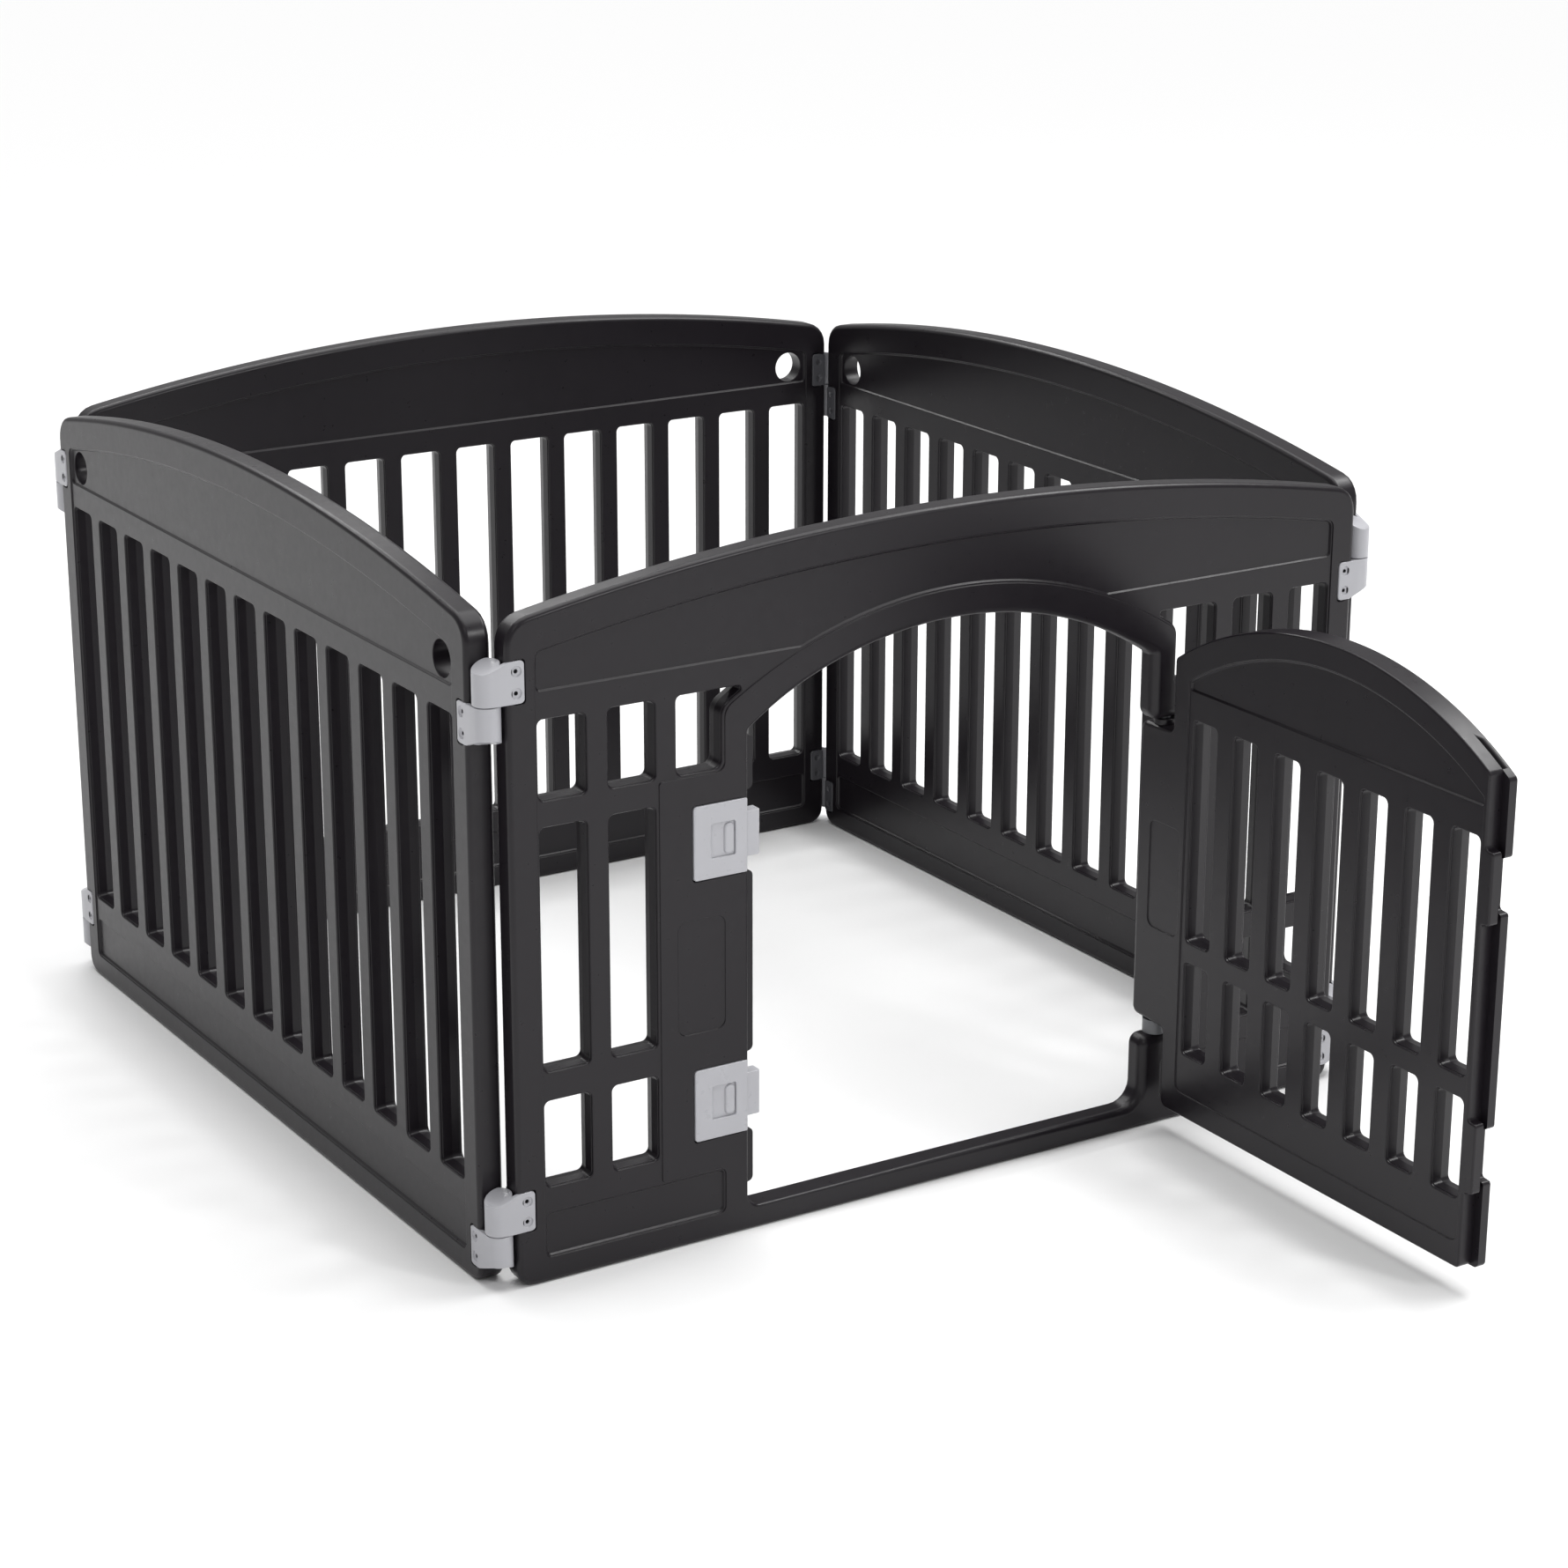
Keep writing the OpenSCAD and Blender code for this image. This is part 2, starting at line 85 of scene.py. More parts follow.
def rounded(corners: Sequence[Corner], closed: bool = True,
            steps: int = TURN_STEPS) -> list[Point]:
    """A straight-sided path whose corners are rounded.

    Args:
        corners: (x, z, radius) of each corner; a radius of 0 keeps the point as it is.
        closed: Whether the last corner joins the first.
        steps: How many straight pieces stand for each rounding.

    Returns:
        The points of the path.
    """
    path: list[Point] = []
    count = len(corners)
    for i, (x, z, radius) in enumerate(corners):
        here = Vector((x, z))
        at_end = not closed and i in (0, count - 1)
        if radius == 0 or at_end:
            path.append((x, z))
            continue
        before = (Vector(corners[i - 1][:2]) - here).normalized()
        after = (Vector(corners[(i + 1) % count][:2]) - here).normalized()
        half = before.angle(after) / 2
        centre = here + (before + after).normalized() * radius / math.sin(half)
        first = here + before * radius / math.tan(half) - centre
        last = here + after * radius / math.tan(half) - centre
        start = math.degrees(math.atan2(first.y, first.x))
        sweep = math.degrees(math.atan2(last.y, last.x)) - start
        sweep = (sweep + 180) % 360 - 180
        path += arc(centre.x, centre.y, radius, start, start + sweep, steps)
    return path


def bends(corners: Sequence[Corner]) -> list[Point]:
    """The roundings of an open path, without its two ends, which only lead into them."""
    return rounded(corners, closed=False)[1:-1]


def box_outline(x0: float, z0: float, x1: float, z1: float, radius: float) -> list[Point]:
    """A rectangle with rounded corners, counter-clockwise."""
    return rounded([(x0, z0, radius), (x1, z0, radius), (x1, z1, radius), (x0, z1, radius)])


def arch_corner(edge: float, radius: float, centre_z: float, fillet: float) -> list[Point]:
    """The rounding between an upright side and an arch over it, on the right side going up.

    Args:
        edge: X of the upright side.
        radius, centre_z: The arch, whose centre is on X = 0.
        fillet: The radius of the rounding.

    Returns:
        The points from the upright side to the arch.
    """
    cx = edge - fillet
    rise = math.sqrt((radius - fillet) ** 2 - cx**2)
    return arc(cx, centre_z + rise, fillet, 0, math.degrees(math.atan2(rise, cx)), 5)


def arch_span(radius: float, centre_z: float, x0: float, x1: float, steps: int) -> list[Point]:
    """Points on an arch between two values of X, without its ends."""
    a0, a1 = math.acos(x0 / radius), math.acos(x1 / radius)
    angles = [a0 + (a1 - a0) * i / steps for i in range(1, steps)]
    return [(radius * math.cos(a), centre_z + radius * math.sin(a)) for a in angles]


def flipped(path: Iterable[Point]) -> list[Point]:
    """A path mirrored in X = 0 and reversed, so that it keeps its sense of turning."""
    return [(-x, z) for x, z in path][::-1]


def arched(half: float, bottom: float, radius: float, centre_z: float, top_r: float,
           bottom_r: float, steps: int) -> list[Point]:
    """An upright-sided outline under an arch, counter-clockwise.

    Args:
        half: Half of its width.
        bottom: Z of its straight lower edge.
        radius, centre_z: The arch, whose centre is on X = 0.
        top_r, bottom_r: Radii of its upper and lower corners.
        steps: How many straight pieces stand for the arch.

    Returns:
        The closed outline.
    """
    above = bottom + 2 * bottom_r
    lower = bends([(-half, above, 0), (-half, bottom, bottom_r), (half, bottom, bottom_r),
                   (half, above, 0)])
    right = arch_corner(half, radius, centre_z, top_r)
    span = arch_span(radius, centre_z, right[-1][0], -right[-1][0], steps)
    return lower + right + span + flipped(right)


def shifted(path: Iterable[Point], dx: float) -> list[Point]:
    """A path moved along X."""
    return [(x + dx, z) for x, z in path]


def share_of(value: float, start: float, length: float) -> float:
    """How much of a length a value has covered from its start, between 0 and 1."""
    return min(max((value - start) / length, 0), 1)


# ---------------------------------------------------------------- edge sections


class Section:
    """The section of a moulded edge, from a flat face round to the wall under it.

    It is drawn in two directions: out, away from the plate's material, and up, away from the
    plate's middle. An angle of 0 heads out and -90 heads down the wall.
    """

    def __init__(self, out: float, up: float) -> None:
        """Starts a section on a face, at a distance back from the outline."""
        self.at = Vector((out, up))
        self.points: list[Point] = [(out, up)]
        self.normals: list[tuple[Point, Point]] = []

    def _go(self, out: float, up: float, first: Point, last: Point) -> None:
        """Adds one straight piece and the normals at its ends."""
        self.at = Vector((out, up))
        self.points.append((out, up))
        self.normals.append((first, last))

    def turn(self, radius: float, start: float, end: float, steps: int = 4) -> "Section":
        """Follows an arc, rounded over when the angle falls and hollow when it grows."""
        sign = -1 if end < start else 1
        angles = [math.radians(start + (end - start) * i / steps) for i in range(steps + 1)]
        normals = [(-math.sin(a), math.cos(a)) for a in angles]
        centre = self.at + sign * radius * Vector(normals[0])
        for i in range(steps):
            where = centre - sign * radius * Vector(normals[i + 1])
            self._go(where.x, where.y, normals[i], normals[i + 1])
        return self

    def run(self, length: float, angle: float) -> "Section":
        """Follows a straight line."""
        a = math.radians(angle)
        where = self.at + length * Vector((math.cos(a), math.sin(a)))
        normal = (-math.sin(a), math.cos(a))
        self._go(where.x, where.y, normal, normal)
        return self

    def down_to(self, up: float, angle: float = -90) -> "Section":
        """Follows a straight line at an angle until it reaches a level."""
        return self.run((up - self.at.y) / math.sin(math.radians(angle)), angle)


def rim(radius: float, level: float, floor: float) -> Section:
    """A rounded-over edge that starts on a level and runs straight down to a floor."""
    return Section(-radius, level).turn(radius, 0, -90).down_to(floor)


def step_down(level: float, floor: float, over: float = 0.9, under: float = 0.5,
              lean: float = -84.0) -> Section:
    """A step from a level to a lower one, rounded over at its edge and hollow at its foot."""
    section = Section(-over, level).turn(over, 0, lean)
    foot = floor + under * (1 - math.cos(math.radians(lean)))
    if section.at.y > foot:
        section.down_to(foot, lean)
    return section.turn(under, lean, 0, 3)


def fine_step(depth: float) -> Section:
    """The step round a recess in a face, with a smaller rounding than the panels' fields have."""
    return step_down(0, -depth, over=0.6, under=0.4)


def sloped_step() -> Section:
    """The step down from a field to its header or kick panel, drafted so that it lifts out."""
    return step_down(-PANEL.field_sink, -PANEL.sink, lean=-52.0)


def crease(level: float, floor: float) -> Section:
    """The fine step round a sunk field."""
    half = (level - floor) / 2
    return Section(-half, level).turn(half, 0, -90, 3).turn(half, -90, 0, 3)


def grille_wall(level: float, draft: float = 8.0, lip: float = 1.3, shelf: float = 0.25) -> Section:
    """The wall of a grille opening down to the middle of the plate.

    A rounded lip stands on a narrow shelf, and below it the wall leans in by the draft angle
    that lets the two halves of the mould part.
    """
    section = Section(-lip, level).turn(lip, 0, -90).run(0.7, -90)
    section.turn(shelf, -90, 0, 2).turn(0.4, 0, draft - 90, 2)
    return section.down_to(-PANEL.thickness / 2, draft - 90)


# ---------------------------------------------------------------- meshes


@dataclass
class Mesh:
    """A welded mesh whose face corners carry their own normals.

    Outlines are drawn in two of its directions, and thickness is the third one.
    """

    upright: bool = True
    thickness: float = 23.0
    points: list[Vector] = field(default_factory=list)
    faces: list[list[int]] = field(default_factory=list)
    normals: list[list[Vector]] = field(default_factory=list)
    known: dict[tuple[int, int, int], int] = field(default_factory=dict)

    def space(self, a: float, b: float, c: float) -> Vector:
        """Turns outline coordinates and a thickness coordinate into X, Y and Z."""
        return Vector((a, c, b)) if self.upright else Vector((a, b, c))

    def point(self, a: float, b: float, c: float) -> int:
        """The index of a point, made once for each place."""
        place = self.space(a, b, c)
        key = (round(place.x * 2000), round(place.y * 2000), round(place.z * 2000))
        if key not in self.known:
            self.known[key] = len(self.points)
            self.points.append(place)
        return self.known[key]

    def face(self, ids: Sequence[int], normals: Sequence[Vector]) -> None:
        """Adds a face, turned so that it agrees with its corners' normals."""
        kept = [(i, n) for k, (i, n) in enumerate(zip(ids, normals)) if i != ids[k - 1]]
        if len({i for i, _ in kept}) < 3:
            return
        at = [self.points[i] for i, _ in kept]
        flat = sum(((at[k - 1] - at[0]).cross(at[k] - at[0]) for k in range(2, len(at))), Vector())
        if flat.length < 1e-9:
            return
        if flat.dot(sum((n for _, n in kept), Vector())) < 0:
            kept.reverse()
        self.faces.append([i for i, _ in kept])
        self.normals.append([n for _, n in kept])

    def sweep(self, path: Sequence[Point], section: Section | Callable[[Point], Section],
              side: int) -> tuple[list[int], list[int]]:
        """Carries an edge section round a closed outline.

        Args:
            path: The outline, with its material on the left.
            section: The section, or a function that gives the section at a point.
            side: -1 for the plate's outer half and 1 for its inner half.

        Returns:
            The indices of the section's first ring and of its last one.
        """
        outward = out_of_material(path)
        cuts = [section(p) if callable(section) else section for p in path]
        rings = [
            [self.point(p[0] + o[0] * cut.points[k][0], p[1] + o[1] * cut.points[k][0],
                        side * (self.thickness / 2 + cut.points[k][1]))
             for p, o, cut in zip(path, outward, cuts)]
            for k in range(len(cuts[0].points))
        ]

        def normal(i: int, k: int, end: int) -> Vector:
            """The normal at a corner."""
            out, up = cuts[i].normals[k][end]
            unit = Vector(outward[i]).normalized()
            return self.space(unit.x * out, unit.y * out, side * up)

        for k in range(len(rings) - 1):
            for i in range(len(path)):
                j = (i + 1) % len(path)
                self.face([rings[k][i], rings[k][j], rings[k + 1][j], rings[k + 1][i]],
                          [normal(i, k, 0), normal(j, k, 0), normal(j, k, 1), normal(i, k, 1)])
        return rings[0], rings[-1]

    def ledge(self, upper: Sequence[Point], lower: Sequence[Point], level: float) -> None:
        """Joins two outlines of as many points on one level, where one stands past the other."""
        outward = out_of_material(upper)
        for i in range(len(upper)):
            j = (i + 1) % len(upper)
            stands = sum((u[0] - w[0]) * o[0] + (u[1] - w[1]) * o[1]
                         for u, w, o in ((upper[i], lower[i], outward[i]),
                                         (upper[j], lower[j], outward[j])))
            normal = self.space(0, 0, 1 if stands > 0 else -1)
            ids = [self.point(*p, level) for p in (upper[i], upper[j], lower[j], lower[i])]
            self.face(ids, [normal] * 4)

    def cap(self, outer: Sequence[int], holes: Sequence[Sequence[int]], side: int) -> None:
        """Fills a flat face between rings.

        Args:
            outer: The ring round the face.
            holes: The rings that the face leaves open.
            side: -1 for the plate's outer half and 1 for its inner half.
        """
        normal = self.space(0, 0, side)
        rings = [list(outer), *[list(h) for h in holes]]
        ids = [i for ring in rings for i in ring]
        flat = [Vector((p.x, p.z if self.upright else p.y)) for p in (self.points[i] for i in ids)]
        loops, start = [], 0
        for ring in rings:
            loop = list(range(start, start + len(ring)))
            area = sum(flat[loop[k - 1]].cross(flat[loop[k]]) for k in range(len(loop)))
            loops.append(loop if area > 0 else loop[::-1])
            start += len(ring)
        verts, _, triangles, origin, _, inside = delaunay_2d_cdt(flat, [], loops, 0, 1e-6)
        crossings = [vert for vert, sources in zip(verts, origin) if not sources]
        if crossings:
            LOG.warning("rings of a flat face cross at %s", crossings)
        for triangle, owners in zip(triangles, inside):
            if owners == [0] and all(origin[k] for k in triangle):
                self.face([ids[origin[k][0]] for k in triangle], [normal] * 3)

    def recess(self, path: Sequence[Point], section: Section, side: int) -> list[int]:
        """Sinks a recess with a flat floor.

        Args:
            path: The recess's outline, with the plate's material on its left.
            section: The section of its wall, from its mouth down to its floor.
            side: -1 for the plate's outer half and 1 for its inner half.

        Returns:
            The indices of the ring round its mouth.
        """
        mouth, floor = self.sweep(path, section, side)
        self.cap(floor, [], side)
        return mouth

    def warp(self, move: Callable[[Vector], Vector], tilt: Callable[[Vector, Vector], Vector]) -> None:
        """Moves every point and tilts every normal to suit."""
        for corners, ids in zip(self.normals, self.faces):
            corners[:] = [tilt(self.points[i], n) for i, n in zip(ids, corners)]
        self.points = [move(p) for p in self.points]

    def take(self, other: "Mesh", place: Matrix) -> None:
        """Adds another mesh, put in place."""
        base = len(self.points)
        turn = place.to_3x3()
        flip = turn.determinant() < 0
        self.points += [place @ p for p in other.points]
        for ids, normals in zip(other.faces, other.normals):
            new = [base + i for i in ids]
            turned = [turn @ n for n in normals]
            self.faces.append(new[::-1] if flip else new)
            self.normals.append(turned[::-1] if flip else turned)

    def build(self, name: str, place: Matrix | None = None) -> bpy.types.Object:
        """Makes the Blender object, in metres.

        Args:
            name: The piece's name.
            place: Where it goes, in millimetres, or None where it is.

        Returns:
            The linked object, at the origin.
        """
        where = place if place is not None else Matrix.Identity(4)
        turn = where.to_3x3()
        data = bpy.data.meshes.new(name)
        data.from_pydata([(where @ p) * MM for p in self.points], [], self.faces)
        data.polygons.foreach_set("use_smooth", [True] * len(data.polygons))
        corners = [(turn @ n).normalized() for face in self.normals for n in face]
        data.normals_split_custom_set(corners)
        piece = bpy.data.objects.new(name, data)
        bpy.context.scene.collection.objects.link(piece)
        return piece


def out_of_material(path: Sequence[Point]) -> list[Point]:
    """For each point of an outline, the step out of the material that moves its edges by 1."""
    steps: list[Point] = []
    for i, here in enumerate(path):
        before, after = path[i - 1], path[(i + 1) % len(path)]
        first = Vector((here[1] - before[1], before[0] - here[0])).normalized()
        second = Vector((after[1] - here[1], here[0] - after[0])).normalized()
        mid = (first + second).normalized()
        mid /= max(mid.dot(first), 0.4)
        steps.append((mid.x, mid.y))
    return steps


def hole(path: Sequence[Point]) -> list[Point]:
    """An outline turned round, so that its material is outside it."""
    return list(path)[::-1]


# ---------------------------------------------------------------- sizes


@dataclass(frozen=True)
class PanelSizes:
    """Sizes that all four panels share. Those without a default come from the frame."""

    thickness: float
    half: float
    crown: float
    axis: float
    rise: float = 37.0
    edge_r: float = 4.6
    top_r: float = 24.0
    bottom_r: float = 16.0
    field_half: float = 401.6
    field_bottom: float = 22.0
    field_sink: float = 1.2
    sink: float = 3.0
    inset: float = 1.6
    header_bottom: float = 507.0
    header_margin: float = 29.2
    header_r: float = 8.0
    kick_top: float = 61.0
    kick_r: float = 6.0
    grille_half: float = 399.5
    grille_bottom: float = 84.0
    grille_top: float = 483.6
    opening: float = 44.0
    openings: int = 13
    opening_r: float = 5.5
    hole_x: float = 380.0
    hole_z: float = 524.6
    hole_r: float = 16.3
    hole_lip: float = 0.8
    leaf_levels: tuple[float, float] = (50.0, 500.0)
    leaf_gap: float = 0.9
    leaf_recess_r: float = 3.4
    header_low_r: float = 4.0
    shallow: float = 1.0
    shallow_r: float = 8.0

    @property
    def arch_r(self) -> float:
        """Radius of the arched top."""
        return ((self.half - self.top_r) ** 2 + self.rise**2) / (2 * self.rise)

    @property
    def arch_z(self) -> float:
        """Z of the centre of the arched top."""
        return self.crown - self.arch_r

    @property
    def pitch(self) -> float:
        """Distance from one grille opening to the next."""
        return (2 * self.grille_half - self.opening) / (self.openings - 1)


def read_panel_sizes() -> PanelSizes:
    """Takes the panels' main sizes from the CAD frame."""
    low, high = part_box("front_frame")
    side_low, side_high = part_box("right_panel")
    return PanelSizes(thickness=(high.y - low.y) / MM, half=(high.x - low.x) / 2 / MM,
                      crown=high.z / MM, axis=(side_low.x + side_high.x) / 2 / MM)


PANEL = read_panel_sizes()


class Side(Enum):
    """The four sides of the pen and how far each is turned from the front."""

    FRONT = 0
    LEFT = -90
    BACK = 180
    RIGHT = 90

    @property
    def body(self) -> str:
        """The CAD body's name."""
        return self.name.lower()

    @property
    def place(self) -> Matrix:
        """Turns a piece drawn on the front panel's line to this side."""
        centre = Matrix.Translation((0, PANEL.axis, 0))
        return centre @ Matrix.Rotation(math.radians(self.value), 4, "Z") @ centre.inverted()


# ---------------------------------------------------------------- finishes


def linear(code: str) -> tuple[float, float, float, float]:
    """The linear colour of an sRGB hex code such as '#2b2b2e'."""
    parts = [int(code[i:i + 2], 16) / 255 for i in (1, 3, 5)]
    red, green, blue = [p / 12.92 if p <= 0.04045 else ((p + 0.055) / 1.055) ** 2.4 for p in parts]
    return red, green, blue, 1.0


def add_node(tree: bpy.types.NodeTree, kind: str, links: dict[str | int, object] | None = None,
             sockets: dict[str | int, object] | None = None, **settings: object) -> bpy.types.Node:
    """Adds a shader node.

    Args:
        tree: The node tree it goes into.
        kind: The node's type name.
        links: The output socket that feeds each input, by name or number.
        sockets: The constant for each input, by name or number.
        settings: Properties of the node itself.

    Returns:
        The new node.
    """
    node = tree.nodes.new(kind)
    for name, value in settings.items():
        setattr(node, name, value)
    for name, value in (sockets or {}).items():
        node.inputs[name].default_value = value
    for name, source in (links or {}).items():
        tree.links.new(source, node.inputs[name])
    return node


@dataclass(frozen=True)
class Finish:
    """A surface: two close colours that drift into each other, a grain and a gloss."""

    name: str
    colour: str
    shade: str
    roughness: float
    roughness_spread: float
    drift_mm: float
    grain_mm: float
    grain_height_mm: float
    metallic: float = 0.0
    ior: float = 1.5
    scuff_mm: float = 9.0

    def build(self) -> bpy.types.Material:
        """Makes the material from the finish."""
        material = bpy.data.materials.new(self.name)
        material.use_nodes = True
        tree = material.node_tree
        tree.nodes.clear()
        where = add_node(tree, "ShaderNodeTexCoord").outputs["Object"]
        drift = add_node(tree, "ShaderNodeTexNoise", {"Vector": where},
                         {"Scale": 1 / (self.drift_mm * MM), "Detail": 3.0, "Roughness": 0.55})
        colour = add_node(tree, "ShaderNodeMix", {"Factor": drift.outputs["Fac"]},
                          {MIX_A: linear(self.shade), MIX_B: linear(self.colour)},
                          data_type="RGBA")
        scuff = add_node(tree, "ShaderNodeTexNoise", {"Vector": where},
                         {"Scale": 1 / (self.scuff_mm * MM), "Detail": 5.0, "Roughness": 0.65})
        gloss = add_node(tree, "ShaderNodeMapRange", {"Value": scuff.outputs["Fac"]},
                         {"From Min": 0.3, "From Max": 0.7,
                          "To Min": self.roughness - self.roughness_spread,
                          "To Max": self.roughness + self.roughness_spread})
        grain = add_node(tree, "ShaderNodeTexNoise", {"Vector": where},
                         {"Scale": 1 / (self.grain_mm * MM), "Detail": 2.0, "Roughness": 0.5})
        bump = add_node(tree, "ShaderNodeBump", {"Height": grain.outputs["Fac"]},
                        {"Strength": 1.0, "Distance": self.grain_height_mm * MM})
        shader = add_node(tree, "ShaderNodeBsdfPrincipled",
                          {"Base Color": colour.outputs[MIX_RESULT], "Roughness": gloss.outputs["Result"],
                           "Normal": bump.outputs["Normal"]},
                          {"Metallic": self.metallic, "IOR": self.ior})
        add_node(tree, "ShaderNodeOutputMaterial", {"Surface": shader.outputs["BSDF"]})
        return material


class Finishes:
    """The finishes of the pen, each made once."""

    def __init__(self) -> None:
        """Builds every material."""
        # Polypropylene moulded in a lightly spark-eroded tool: near black, with a satin sheen
        # that greys it where it faces the light. The grain is 0.6 mm, coarse enough to show.
        self.panel = Finish("moulded_polypropylene_charcoal", "#1d191e", "#181519", 0.31, 0.04,
                            120.0, 0.6, 0.003, ior=1.38).build()
        # ABS moulded smooth and grey: a pale, even satin that keeps soft highlights on its
        # rounded edges.
        self.hinge = Finish("moulded_abs_silver_grey", "#b3b3b8", "#ababb0", 0.32, 0.04,
                            45.0, 0.5, 0.003, ior=1.53).build()
        # The same ABS on the slide bolts and their covers, moulded a little glossier.
        self.latch = Finish("moulded_abs_latch_grey", "#b8b8bd", "#b0b0b5", 0.30, 0.04,
                            45.0, 0.5, 0.003, ior=1.53).build()
        # The backing plates are the hinges' grey ABS, given a darker grey as painted shade, since they
        # are seen only inside the pen where shade falls.
        self.plate = Finish("moulded_abs_dark_grey", "#5b5b5f", "#545458", 0.36, 0.04,
                            45.0, 0.5, 0.003, ior=1.53).build()
        # Acetal, turned: a mid grey with a faint waxy sheen.
        self.collar = Finish("turned_acetal_grey", "#77787b", "#6c6d70", 0.45, 0.05,
                             30.0, 0.4, 0.004, ior=1.48).build()
        # Drawn steel pin: bright metal with a soft, streakless gloss.
        self.pin = Finish("drawn_steel_pin", "#a3a5a9", "#8f9195", 0.32, 0.06,
                          20.0, 0.3, 0.003, metallic=1.0).build()
        # Steel screw in black zinc: dark metal that shows as a shadowed core in its recess.
        self.screw = Finish("black_zinc_screw", "#2d2d30", "#202022", 0.42, 0.06,
                            6.0, 0.3, 0.004, metallic=1.0).build()


@dataclass
class Workshop:
    """Dresses every piece, sets it on its body and reports it."""

    finishes: Finishes

    def place(self, piece: bpy.types.Object, body: str, slot: str, material: bpy.types.Material,
              *nodes: str) -> None:
        """Dresses a new piece, sets it on its body and hides the CAD nodes it stands for.

        Args:
            piece: The piece.
            body: The CAD body it moves with.
            slot: Not used.
            material: Its material.
            nodes: The CAD nodes that it replaces.
        """
        piece.data.materials.append(material)
        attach(piece, body)
        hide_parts(*nodes)
        LOG.info("%s: %d faces on %s, for %s", piece.name, len(piece.data.polygons), body,
                 ", ".join(nodes))

    def dress(self, node: str, material: bpy.types.Material) -> None:
        """Gives a CAD node that stays a better material."""
        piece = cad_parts[node]
        piece.data.materials.clear()
        piece.data.materials.append(material)
        LOG.info("%s: CAD node kept, in %s", node, material.name)


# ---------------------------------------------------------------- panels


@dataclass
class PlainPanel:
    """A grille panel with an arched header, a kick panel and two round holes."""

    side: Side

    def leaf_recesses(self, face: int) -> list[list[Point]]:
        """The recesses in one face, -1 for the hinge leaves or 1 for the backing plates."""
        gap = PANEL.leaf_gap
        reach = HINGE.leaf if face < 0 else HINGE.plate_end
        inner, outer = PANEL.axis - reach - gap, PANEL.half - PANEL.edge_r - gap
        found = []
        for split in PANEL.leaf_levels:
            for end in (-1, 1):
                low = split - end * HINGE.joint / 2 - (HINGE.height if end > 0 else 0)
                x0, x1 = sorted((end * inner, end * outer))
                found.append(box_outline(x0, low - gap, x1, low + HINGE.height + gap,
                                         PANEL.leaf_recess_r))
        return found

    def outline(self) -> list[Point]:
        """The panel's outline."""
        return arched(PANEL.half, 0, PANEL.arch_r, PANEL.arch_z, PANEL.top_r, PANEL.bottom_r, 72)

    def field(self) -> list[Point]:
        """The outline of the sunk field, all that lies inside the border."""
        return arched(PANEL.field_half, PANEL.field_bottom, PANEL.arch_r - PANEL.header_margin,
                      PANEL.arch_z, PANEL.header_r, PANEL.kick_r, 64)

    def header(self) -> list[Point]:
        """The outline of the header, a lens that is sunk deeper than the field."""
        return arched(PANEL.field_half - PANEL.inset, PANEL.header_bottom,
                      PANEL.arch_r - PANEL.header_margin - PANEL.inset, PANEL.arch_z,
                      PANEL.header_r - PANEL.inset, PANEL.header_low_r, 64)

    def kick(self, end: float) -> list[Point]:
        """The outline of a kick panel that runs from the left border to an end."""
        return box_outline(-PANEL.field_half + PANEL.inset, PANEL.field_bottom + PANEL.inset, end,
                           PANEL.kick_top, PANEL.kick_r - PANEL.inset)

    def grille(self) -> list[list[Point]]:
        """The outlines of the grille's openings."""
        starts = [-PANEL.grille_half + i * PANEL.pitch for i in range(PANEL.openings)]
        return [box_outline(x, PANEL.grille_bottom, x + PANEL.opening, PANEL.grille_top,
                            PANEL.opening_r) for x in starts]

    def mesh(self) -> Mesh:
        """Moulds the panel."""
        mesh = Mesh(thickness=PANEL.thickness)
        middle = -PANEL.thickness / 2
        kick = self.kick(PANEL.field_half - PANEL.inset)
        for side in (-1, 1):
            edge, _ = mesh.sweep(self.outline(), rim(PANEL.edge_r, 0, middle), side)
            high, low = mesh.sweep(hole(self.field()), crease(0, -PANEL.field_sink), side)
            leaves = [mesh.recess(hole(path), step_down(0, -PANEL.sink), side)
                      for path in self.leaf_recesses(side)]
            mesh.cap(edge, [high, *leaves], side)
            header_high, header_low = mesh.sweep(hole(self.header()), sloped_step(), side)
            kick_high = mesh.recess(hole(kick), sloped_step(), side)
            grille = [mesh.sweep(hole(path), grille_wall(-PANEL.field_sink), side)[0]
                      for path in self.grille()]
            mesh.cap(low, [header_high, kick_high, *grille], side)
            eyes = [mesh.sweep(arc(x, PANEL.hole_z, PANEL.hole_r - PANEL.hole_lip, 360, 7.5, 47),
                               rim(PANEL.hole_lip, -PANEL.sink, middle), side)[0]
                    for x in (-PANEL.hole_x, PANEL.hole_x)]
            mesh.cap(header_low, eyes, side)
        return mesh

    def make(self, shop: Workshop) -> None:
        """Builds the panel on its side of the pen."""
        name = f"{self.side.body}_panel"
        piece = self.mesh().build(f"{name}_moulding", self.side.place)
        shop.place(piece, self.side.body, "panel_plastic", shop.finishes.panel, name)


